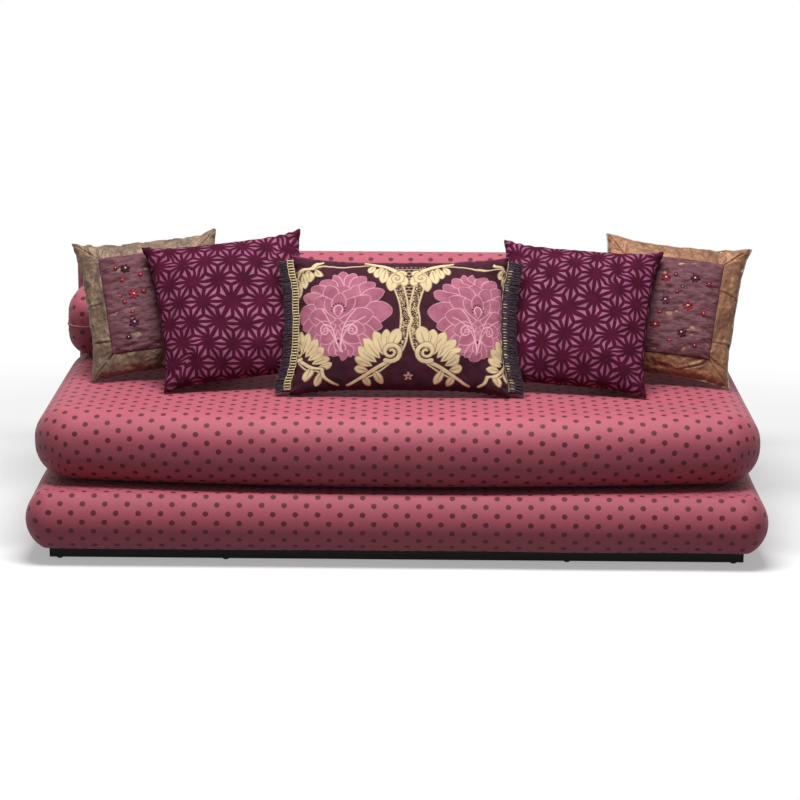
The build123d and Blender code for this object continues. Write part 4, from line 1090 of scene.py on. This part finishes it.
for side_name, cloth, seed, lean, yaw, roll, creases, flowers in BROCADES:
    panels = [f"{side_name}_brocade_{part}" for part in ("border", "rear")]
    cushion = Cushion(f"{side_name}_brocade_cover", panels, BROCADE_SIZE, lean, yaw, roll)
    cushion.sew(cloth, BROCADE_FLAT)
    cushion.work_cloth(2, lambda flat, front: border_rise(cushion, flat, front, seed, creases))
    body = f"{side_name}_brocade_cushion"
    fit_out(cushion.piece, body, "gold_brocade", *panels, f"{side_name}_brocade_filling", fill=0.7)
    panel = middle_panel(cushion, f"{side_name}_brocade_panel", tissue)
    fit_out(panel, body, "mauve_tissue", f"{side_name}_brocade_middle", fill=0.7)
    lots = {red_petal: [], dark_petal: []}
    hearts = []
    for x, y, turn, width, velvet in flowers:
        x, y = x * PANEL_HALF * FLOWER_SPREAD_SHARE, y * PANEL_HALF * FLOWER_SPREAD_SHARE
        for k in range(PETAL_COUNT):
            heading = math.radians(turn + 360 / PETAL_COUNT * k)
            root = width * PETAL_ROOT_SHARE * MM
            foot = (x + root * math.cos(heading), y + root * math.sin(heading))
            lots[velvet].append(petal(cushion, *foot, heading, width * PETAL_LENGTH_SHARE * MM,
                                      width * PETAL_WIDTH_SHARE * MM))
        place, normal = cushion.drop(x, y)
        hearts.append(bead(place + normal * BEAD_LIFT, normal, width * BEAD_SHARE * MM))
    for velvet, kind in ((red_petal, "red"), (dark_petal, "plum")):
        fit_out(many(f"{side_name}_{kind}_petals", lots[velvet], velvet), body, "plum_lining")
    fit_out(many(f"{side_name}_flower_beads", hearts, cream_yarn), body, "gold_braid")
    half = BROCADE_SIZE[0] / 2 * MM
    line = np.linspace(-half, half, 25)
    rim = [(x, -half) for x in line[:-1]] + [(half, y) for y in line[:-1]]
    rim += [(x, half) for x in line[:0:-1]] + [(-half, y) for y in line[:0:-1]]
    cord_path = [cushion.seam_point(x, y) for x, y in rim]
    cord = rounded_cord(f"{side_name}_edge_cord", cord_path, 2.6 * MM, tan_yarn, closed=True)
    fit_out(cord, body, "gold_braid")

# Lumbar cushion: a velvet damask of two pink flower medallions between ogee bands. The pattern
# mirrors about the cushion's middle and about each medallion, so it is drawn for one quarter, in
# millimetres: across from the medallion's middle, and up from the cushion's middle.
REPEAT = 188
EDGE_SOFT = 1.2
OUTLINE = 1.1
CURVE_STEPS = 12
# The medallion's heart, the ogee band with its fine lines, the scales beside it and the blossom
# between the medallions
HEART_UP = 32
HEART_ARC = 12
HEART_ARC_LOW = 24
HEART_LINE = 1.6
HEART_BEADS = 18
HEART_BEADS_LOW = 26
HEART_BEAD = 2.8
HEART_BEAD_COUNT = 14
EYE_DROP = 62
EYE_RADIUS = 3.6
BAND_LOW = -100
BAND_HIGH = 172
WORM_PITCH = 6.5
SCALE_WIDTH = 13
SCALE_ROW = 11
SCALE_ARC = 8.5
SCALES_LOW = 40
RIB_SHARE = 0.8
SCROLL_RIM = 1.8
BLOSSOM_DROP = 162
BLOSSOM_RADIUS = 10
BLOSSOM_LOBE = 4
BLOSSOM_LOBES = 5
BLOSSOM_EYE = 3


def soft_share(inside):
    """A share from 0 outside a shape's edge to 1 inside it."""
    return np.clip(0.5 + inside / (2 * EDGE_SOFT), 0, 1)


def stroke(place, path, widths):
    """How far each place lies inside a tapering line."""
    inside = np.full(len(place), -99.0)
    for k in range(len(path) - 1):
        start, along = np.array(path[k]), np.array(path[k + 1]) - np.array(path[k])
        share = np.clip((place - start) @ along / max(along @ along, 1e-9), 0, 1)
        off = np.linalg.norm(place - start - share[:, None] * along, axis=1)
        inside = np.maximum(inside, widths[k] + (widths[k + 1] - widths[k]) * share - off)
    return inside


def volute(centre, radius, turns, start, hand):
    """A scroll's path, winding in from its rim."""
    path = []
    for k in range(int(turns * 16) + 1):
        share = k / (turns * 16)
        a = math.radians(start) + hand * 2 * math.pi * turns * share
        reach = radius * (1 - 0.86 * share)
        path.append((centre[0] + reach * math.cos(a), centre[1] + reach * math.sin(a)))
    return path


def taper(path, wide, narrow):
    """Widths along a path, from wide to narrow."""
    return list(np.linspace(wide, narrow, len(path)))


def bezier(a, b, c, d):
    """A smooth path between two points."""
    return [tuple((1 - t) ** 3 * np.array(a) + 3 * t * (1 - t) ** 2 * np.array(b)
                  + 3 * t * t * (1 - t) * np.array(c) + t**3 * np.array(d))
            for t in np.linspace(0, 1, CURVE_STEPS)]


# Petals and leaves are a root, a tip and half a width, from the rear ones to the front ones
PETALS = (
    ((0, -90), (0, 120), 70), ((0, 84), (0, 156), 20), ((6, 86), (34, 148), 19),
    ((12, 76), (64, 134), 22), ((20, 60), (92, 108), 22), ((28, 50), (119, 82), 21),
    ((24, 16), (143, 24), 34), ((22, 2), (120, -18), 25), ((16, -12), (101, -52), 26),
    ((12, -28), (80, -80), 24), ((8, -46), (54, -106), 21), ((2, -56), (26, -112), 16),
    ((0, -74), (0, -126), 17), ((0, 44), (0, 114), 25), ((4, 34), (42, 106), 22), ((6, 22), (80, 68), 24),
    ((6, 0), (96, 18), 26), ((4, -16), (74, -30), 22), ((2, -30), (54, -66), 19),
    ((0, -52), (0, -96), 15), ((0, 4), (40, 66), 17), ((0, 10), (0, 80), 20),
)
UPPER_LEAVES = (
    ((90, 176), (74, 146), 11), ((106, 168), (94, 128), 13), ((122, 160), (112, 108), 14),
    ((164, 146), (178, 100), 14), ((146, 150), (136, 82), 17), ((148, 152), (182, 142), 10),
)
LOWER_LEAVES = (
    ((58, -156), (78, -196), 11), ((88, -140), (114, -188), 12), ((74, -146), (36, -142), 12),
    ((86, -132), (38, -112), 14), ((98, -120), (46, -82), 16), ((108, -108), (64, -56), 17),
    ((118, -98), (96, -34), 17), ((126, -88), (128, -26), 16), ((136, -80), (162, -18), 17),
)
# The ogee band's two edges, the arch over the medallion, and the stalks of the scrolls
INNER_EDGE = (bezier((103, 173), (130, 130), (166, 60), (166, 6))
              + bezier((166, 6), (166, -30), (152, -50), (142, -66))[1:])
OUTER_EDGE = (bezier((157, 152), (172, 105), (187, 50), (187, 6))
              + bezier((187, 6), (187, -60), (172, -100), (134, -125))[1:]
              + bezier((134, -125), (112, -144), (92, -158), (66, -170))[1:])
ARCH = bezier((0, 170), (40, 174), (80, 184), (103, 173))
SCROLLS = (
    (bezier((14, -194), (50, -176), (84, -142), (124, -122)), 4, 6),
    (volute((139, -88), 30, 1.7, 240, 1), 7, 3),
    (bezier((62, 190), (92, 180), (130, 172), (152, 150)), 4, 7),
    (volute((153, 128), 18, 1.4, 80, -1), 5.5, 2.5),
)
# Lines of paler pink inside the medallion
MEDALLION_LINES = (
    (bezier((0, -100), (6, -50), (14, -6), (50, 34)), 2.0, 1.3),
    (bezier((3, -78), (14, -30), (40, -6), (76, 10)), 1.8, 1.2),
    (volute((38, -30), 19, 1.5, 150, -1), 2.0, 1.2),
)


def leaf_reach(place, root, tip, width):
    """How far each place lies inside a petal or leaf that swells and ends in a small point."""
    root, along = np.array(root), np.array(tip) - np.array(root)
    length = math.hypot(*along)
    share = (place - root) @ along / length**2
    off = np.abs((place - root) @ np.array((-along[1], along[0]))) / length
    half = width * np.sin(math.pi * np.clip(share, 0, 1) ** 1.3) ** 0.62
    beyond = np.maximum(-share, share - 1) * length
    return np.where(beyond > 0, -np.hypot(beyond, off), half - off)


def worms(across, up, wanted):
    """Fine wandering lines, as small noise near zero."""
    field = np.ones(len(across))
    for k in np.nonzero(wanted)[0]:
        field[k] = noise.noise((across[k] / WORM_PITCH, up[k] / WORM_PITCH, 3.1))
    return np.abs(field)


def medallion(place, across, up):
    """The pink, pale and dark yarns of the flower medallion and its heart."""
    pink, pale = np.zeros(len(up)), np.zeros(len(up))
    for root, tip, width in PETALS:
        inside = leaf_reach(place, root, tip, width)
        cover = soft_share(inside)
        pink = np.maximum(pink, cover)
        pale = np.maximum(pale * (1 - cover), soft_share(OUTLINE - np.abs(inside)) * 0.85)
    for path, wide, narrow in MEDALLION_LINES:
        pale = np.maximum(pale, soft_share(stroke(place, path, taper(path, wide, narrow))) * 0.9)
    reach = np.hypot(across, up - HEART_UP)
    heading = np.arctan2(across, up - HEART_UP)
    pale = np.maximum(pale, soft_share(HEART_LINE - np.abs(reach - HEART_ARC)) * (up > HEART_ARC_LOW))
    beads = soft_share(HEART_BEAD - np.abs(reach - HEART_BEADS)) * (up > HEART_BEADS_LOW)
    beads = beads * (np.sin(heading * HEART_BEAD_COUNT + 1.57) > -0.1)
    dark = np.maximum(beads, soft_share(EYE_RADIUS - np.hypot(across, up + EYE_DROP)))
    return pink, pale, dark


def ogee_band(place, across_all, across, up):
    """The cream yarn of the band's worms and edges, and of the scales beside it."""
    inner = np.interp(up, [p[1] for p in reversed(INNER_EDGE)], [p[0] for p in reversed(INNER_EDGE)])
    outer = np.interp(up, [p[1] for p in reversed(OUTER_EDGE)], [p[0] for p in reversed(OUTER_EDGE)])
    in_band = (across > inner) & (across < outer) & (up > BAND_LOW) & (up < BAND_HIGH)
    cream = in_band * np.clip(1.25 - worms(across_all, up, in_band) * 7.5, 0, 1)
    row = np.floor(up / SCALE_ROW)
    scale_x = (across_all / SCALE_WIDTH + 0.5 * (row % 2)) % 1 - 0.5
    scale = np.abs(np.hypot(scale_x * SCALE_WIDTH, up - row * SCALE_ROW) - SCALE_ARC)
    fan = (across > outer) & (up > SCALES_LOW) & (up < BAND_HIGH)
    cream = np.maximum(cream, soft_share(OUTLINE - scale) * fan * 0.85)
    for path, width in ((INNER_EDGE, 2.1), (OUTER_EDGE, 2.3), (ARCH, 1.8)):
        cream = np.maximum(cream, soft_share(stroke(place, path, taper(path, width, width))))
    return cream


def leaves_and_scrolls(place, cream, dark):
    """Adds the cream leaves and scrolls, with dark ribs and rims, over the yarns so far."""
    for leaves, (stalk, curl) in ((LOWER_LEAVES, SCROLLS[:2]), (UPPER_LEAVES, SCROLLS[2:])):
        for root, tip, width in leaves:
            inside = leaf_reach(place, root, tip, width)
            cover = soft_share(inside)
            cream = np.maximum(cream, cover)
            edge = soft_share(OUTLINE - np.abs(inside)) * cover
            dark = np.maximum(dark * (1 - cover), edge * RIB_SHARE)
            rib = [tuple(np.array(root) * (1 - t) + np.array(tip) * t) for t in (0.15, 0.7)]
            dark = np.maximum(dark, soft_share(stroke(place, rib, (1.4, 0.6))) * RIB_SHARE)
        for path, wide, narrow in (stalk, curl):
            inside = stroke(place, path, taper(path, wide, narrow))
            cover = soft_share(inside)
            rim = soft_share(inside + SCROLL_RIM) * (1 - cover)
            cream = np.maximum(cream, cover)
            dark = np.maximum(dark * (1 - cover), rim * RIB_SHARE)
    return cream, dark


def damask_yarns(flat):
    """How much pink, cream, dark and pale pink yarn shows at each place of the cloth."""
    across_all, up = flat[:, 0] / MM, flat[:, 1] / MM
    across = np.abs(np.abs(across_all) - REPEAT)
    place = np.column_stack([across, up])
    pink, pale, dark = medallion(place, across, up)
    cream = ogee_band(place, across_all, across, up)
    cream, dark = leaves_and_scrolls(place, cream, dark)
    reach = np.hypot(across_all, up + BLOSSOM_DROP)
    heading = np.arctan2(across_all, up + BLOSSOM_DROP)
    blossom = soft_share(BLOSSOM_RADIUS + BLOSSOM_LOBE * np.cos(heading * BLOSSOM_LOBES) - reach)
    cream = np.maximum(cream, blossom * 0.4)
    pink = np.maximum(pink, blossom)
    dark = np.maximum(dark, soft_share(BLOSSOM_EYE - reach))
    pink_shown = pink * (1 - cream * (blossom < 0.5))
    pale_shown = np.minimum(pale, pink) * (1 - cream)
    return np.column_stack([pink_shown, cream, dark, pale_shown])


LUMBAR_SIZE = (600, 400, 46)
LUMBAR_FLAT = (0.655, 0.445)
lumbar_panels = ("lumbar_front", "lumbar_rear")
lumbar = Cushion("lumbar_cover", lumbar_panels, LUMBAR_SIZE, 30, 0, 0)
lumbar.sew(damask, LUMBAR_FLAT)
# The cloth of a full cushion reaches over its crown, so the pattern is drawn a little larger there
PATTERN_STRETCH = 1.015
PATTERN_SHIFT = (25 * MM, 0)


def damask_rise(flat, front):
    """Stores the yarns on the cover and gives the height of their pile."""
    yarns = damask_yarns((flat - PATTERN_SHIFT) / PATTERN_STRETCH) * front[:, None]
    shown = lumbar.piece.data.color_attributes.new("yarns", "FLOAT_COLOR", "POINT")
    shown.data.foreach_set("color", yarns.ravel())
    pile = yarns @ np.array([0.5, 1.1, -0.2, 0.5]) * MM
    gathers = lumbar.puckers(flat, 2.6 * MM, 34 * MM, 30 * MM)
    creases = crumple(flat, 1.2 * MM, 90 * MM, 5.0) * front
    return pile + gathers + creases


lumbar.work_cloth(3, damask_rise)
fit_out(lumbar.piece, "lumbar_cushion", "damask", *lumbar_panels, "lumbar_filling", fill=0.7)

# Seams along the cushion's top and bottom
for end, sign in (("top", 1), ("bottom", -1)):
    seam = [lumbar.seam_point(x, sign * 200 * MM) for x in np.linspace(-285, 285, 49) * MM]
    fit_out(rounded_cord(f"lumbar_{end}_seam", seam, 3 * MM, wine), "lumbar_cushion", "damask")

# Trimmed ends: a brush fringe whose root lies under a ladder braid
FRINGE_REACH = 44 * MM
FRINGE_ROWS = 6
FRINGE_STRANDS = 150
BRAID_RUNGS = 47
BRAID_RISE = {-1: 8 * MM, 1: 3 * MM}
BRAID_START = 1 * MM
BRAID_WIDTH = 16 * MM
END_HALF = 188 * MM
END_SHARES = np.linspace(-1, 1, 33)
end_reach = {side: [abs((lumbar.seam_point(side * 300 * MM, up * END_HALF) - lumbar.centre).dot(lumbar.right))
                    for up in END_SHARES] for side in (-1, 1)}


def end_place(side, up, out, rise):
    """A point beyond an end seam: up it as a share, out from it and off its plane."""
    x = side * (np.interp(up, END_SHARES, end_reach[side]) - 3 * MM + out)
    return lumbar.at(float(x), up * END_HALF, rise)


def tuft(side, up, row, rng):
    """One thick strand of the fringe, combed outwards and a little down."""
    root = (row - (FRINGE_ROWS - 1) / 2) * 2.2 * MM
    length = FRINGE_REACH * rng.uniform(0.85, 1)
    drop, lift = rng.uniform(-0.03, 0.004), rng.uniform(-3, 3) * MM
    path = [end_place(side, up + drop * s * s * 2, 1.5 * MM + (length - 1.5 * MM) * s, root + lift * s)
            for s in (0, 0.35, 0.7, 1)]
    return tube(path, lambda s: (1.7 - 1.1 * s) * MM, 4)


def ladder_braid(side):
    """Two thin rows of stitches, joined by plump rungs with dark gaps between them."""
    shapes, rise = [], BRAID_RISE[side]
    for out in (BRAID_START, BRAID_START + BRAID_WIDTH):
        path = [end_place(side, up, out, rise) for up in np.linspace(-0.985, 0.985, 121)]
        shapes.append(tube(path, 1.0 * MM, 6))
    for k in range(BRAID_RUNGS):
        up = -0.97 + 1.94 * k / (BRAID_RUNGS - 1)
        path = [end_place(side, up - 0.006 * s, BRAID_START + BRAID_WIDTH * s,
                          rise + 1.6 * MM * math.sin(s * math.pi)) for s in np.linspace(0, 1, 6)]
        shapes.append(tube(path, 2.1 * MM, 6))
    return shapes


for side_name, side in (("left", -1), ("right", 1)):
    rng = random.Random(20 + side)
    tufts = [tuft(side, -0.985 + 1.97 * (k + rng.uniform(0.2, 0.8)) / FRINGE_STRANDS, row, rng)
             for row in range(FRINGE_ROWS) for k in range(FRINGE_STRANDS)]
    fringe = many(f"lumbar_{side_name}_brush_fringe", tufts, dark_yarn)
    fit_out(fringe, "lumbar_cushion", "brush_fringe", f"lumbar_{side_name}_fringe")
    braid = many(f"lumbar_{side_name}_ladder_braid", ladder_braid(side), cream_yarn)
    fit_out(braid, "lumbar_cushion", "gold_braid", f"lumbar_{side_name}_braid")

# Piping on the bolster's front seam and round its ends
PIPING_REACH = 3.2 * MM


def bolster_cord():
    end, front = (bolster_high.x - bolster_low.x) / 2 - BOLSTER_TUCK, bolster_low.y
    level = (bolster_high.z + bolster_low.z) / 2
    corner = BOLSTER_END
    path = [(-end, y, level) for y in np.linspace(bolster_high.y - corner, front + corner, 8)[:-1]]
    path += [(-end + corner - corner * math.cos(a), front + corner - corner * math.sin(a), level)
             for a in arc(0, 90, 8)]
    path += [(x, front, level) for x in np.linspace(-end + corner, end - corner, 60)[:-1]]
    path += [(end - corner + corner * math.sin(a), front + corner - corner * math.cos(a), level)
             for a in arc(0, 90, 8)]
    path += [(end, y, level) for y in np.linspace(front + corner, bolster_high.y - corner, 8)]
    return path


piping_cloth = plain_velvet("jacquard_piping_rose", "#B8646E", "#DC8C96", "#F0B8C4")
piping = rounded_cord("bolster_piping_cord", bolster_cord(), PIPING_REACH, piping_cloth)
fit_out(piping, "bolster", "piping_cloth", "bolster_piping")

# Dust cover: thin cloth stretched under the base inside its hem
dust_low, dust_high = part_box("base_dust_cover")
DUST_TOP = 1.6 * MM
DUST_BOTTOM = 0.6 * MM
spunbond = dull_plastic("polypropylene_spunbonded_black", 0.25)


def dust_cover():
    across, deep = 60, 30
    points = []
    for z in (dust_low.z + DUST_TOP, dust_low.z + DUST_BOTTOM):
        for x in np.linspace(dust_low.x, dust_high.x, across + 1):
            for y in np.linspace(dust_low.y, dust_high.y, deep + 1):
                points.append((x, y, z))
    return make_mesh("base_dust_sheet", points, sheet_faces(across, deep), spunbond)


dust_sheet = fit_out(dust_cover(), "sofa_frame", "dust_cloth", "base_dust_cover")

# The solids that stay get their finishes: boards, frames, bolts, glides and zips. Foam and filling
# lie inside their covers and don't show.
pine = planed_wood("pine_planed", "#D9BC8C", "#B98F58", 1.885)
ply = planed_wood("plywood_sanded", "#CDAE7E", "#AE8853", 2.827)
zip_cloth = twisted_yarn("polyester_zip_tape_burgundy", "#4A1020", "#6E2034", 0.75)
finishes = {
    "black_painted_wood": black_paint(),
    "pine": pine,
    "plywood": ply,
    "zinc_steel": plated_steel("steel_zinc_plated", "#8E9094", "#B9BCC0"),
    "zip_metal": plated_steel("steel_antiqued", "#5A4E40", "#857660"),
    "glide_plastic": dull_plastic("polypropylene_moulded_black", 0.5),
    "zip_tape": zip_cloth,
    "dust_cloth": spunbond,
    "foam": pine,
    "cushion_filling": pine,
    "dotted_cloth": jacquard,
    "piping_cloth": piping_cloth,
    "star_velvet": plum_stars,
    "gold_brocade": bronze,
    "mauve_tissue": tissue,
    "damask": aubergine,
    "plum_lining": aubergine,
    "gold_braid": cream_yarn,
    "brush_fringe": dark_yarn,
}
for part in frame["record"]["subparts"]:
    node = frame["nodes"][part["node"]]
    node.data.materials.clear()
    node.data.materials.append(finishes[part["material_slot"]])

# Floor and light: the floor keeps the shadow near the sofa and fades into the white around it
FLOOR_NEAR = 1.0
FLOOR_FAR = 2.2
FLOOR_REACH = 40
FLOOR_BOUNCE = "#767274"
FLOOR_GLOW = 0.35


def background_rays(tree):
    """A share of 1 on rays that show the background: straight, off gloss or through glass."""
    rays = add(tree, "LightPath")
    seen = add(tree, "Math", {0: rays.outputs["Is Camera Ray"], 1: rays.outputs["Is Glossy Ray"]},
               operation="MAXIMUM")
    return add(tree, "Math", {0: seen, 1: rays.outputs["Is Transmission Ray"]}, operation="MAXIMUM")


def studio_floor():
    material, tree = new_material("studio_floor_matt_white")
    where = add(tree, "NewGeometry")
    spread = add(tree, "VectorMath", {0: where, 1: (0.75, 1, 0)}, operation="MULTIPLY")
    away = add(tree, "VectorMath", {0: spread}, operation="LENGTH").outputs[1]
    fade = add(tree, "MapRange", {0: away, 1: FLOOR_NEAR, 2: FLOOR_FAR}, interpolation_type="SMOOTHSTEP")
    shown = background_rays(tree)
    colour = add(tree, "Mix", {0: shown, 6: linear(FLOOR_BOUNCE), 7: linear("#FAFAFA")},
                 data_type="RGBA").outputs[2]
    matt = add(tree, "BsdfDiffuse", {"Color": colour})
    lit = add(tree, "MapRange", {0: fade, 3: FLOOR_GLOW, 4: 1})
    share = add(tree, "Math", {0: lit, 1: shown}, operation="MULTIPLY")
    glow = add(tree, "Emission", {"Color": (1, 1, 1, 1), "Strength": 1})
    mix = add(tree, "MixShader", {0: share, 1: matt, 2: glow})
    add(tree, "OutputMaterial", {"Surface": mix})
    corners = [(x * FLOOR_REACH, y * FLOOR_REACH, 0) for x, y in ((-1, -1), (1, -1), (1, 1), (-1, 1))]
    make_mesh("studio_floor", corners, [(0, 1, 2, 3)], material)


studio_floor()
WORLD_LIGHT = 0.16
scene = bpy.context.scene
scene.world = bpy.data.worlds.new("studio_air")
scene.world.use_nodes = True
air = scene.world.node_tree
air.nodes.clear()
level = add(air, "MapRange", {0: background_rays(air), 3: WORLD_LIGHT, 4: 1})
sky = add(air, "Background", {"Color": (1, 1, 1, 1), "Strength": level})
add(air, "OutputWorld", {"Surface": sky})


def soft_lamp(name, place, target, width, depth, watts):
    """A large plain lamp that points at a target."""
    lamp = bpy.data.lights.new(name, "AREA")
    lamp.shape = "RECTANGLE"
    lamp.size, lamp.size_y = width, depth
    lamp.energy = watts
    made = bpy.data.objects.new(name, lamp)
    made.location = place
    made.rotation_euler = (Vector(target) - Vector(place)).to_track_quat("-Z", "Y").to_euler()
    scene.collection.objects.link(made)


soft_lamp("overhead_lamp", (0, 0.25, 2.8), (0, -0.1, 0), 2.0, 0.8, 18)
soft_lamp("front_lamp", (0, -1.1, 3.3), (0, -0.3, 0.3), 2.2, 0.8, 128)

# Camera where the photographer stood: metres and degrees, with the lens as pixels of an 800 frame
CAMERA_PLACE = (0.058, -6.7445, 1.984)
CAMERA_PITCH = 13.8
CAMERA_YAW = 0.46
CAMERA_ROLL = 0.35
PHOTO_SIZE = 800
FOCAL_PIXELS = 2498
SENSOR = 36
camera = bpy.data.objects.new("photo_camera", bpy.data.cameras.new("photo_camera"))
scene.collection.objects.link(camera)
camera.data.sensor_width = SENSOR
camera.data.lens = SENSOR * FOCAL_PIXELS / PHOTO_SIZE
camera.data.clip_end = 100
turned = (Matrix.Rotation(math.radians(CAMERA_YAW), 4, "Z")
          @ Matrix.Rotation(math.radians(90 - CAMERA_PITCH), 4, "X")
          @ Matrix.Rotation(math.radians(CAMERA_ROLL), 4, "Z"))
camera.location = CAMERA_PLACE
camera.rotation_euler = turned.to_euler()
scene.camera = camera
scene.view_settings.view_transform = "Standard"
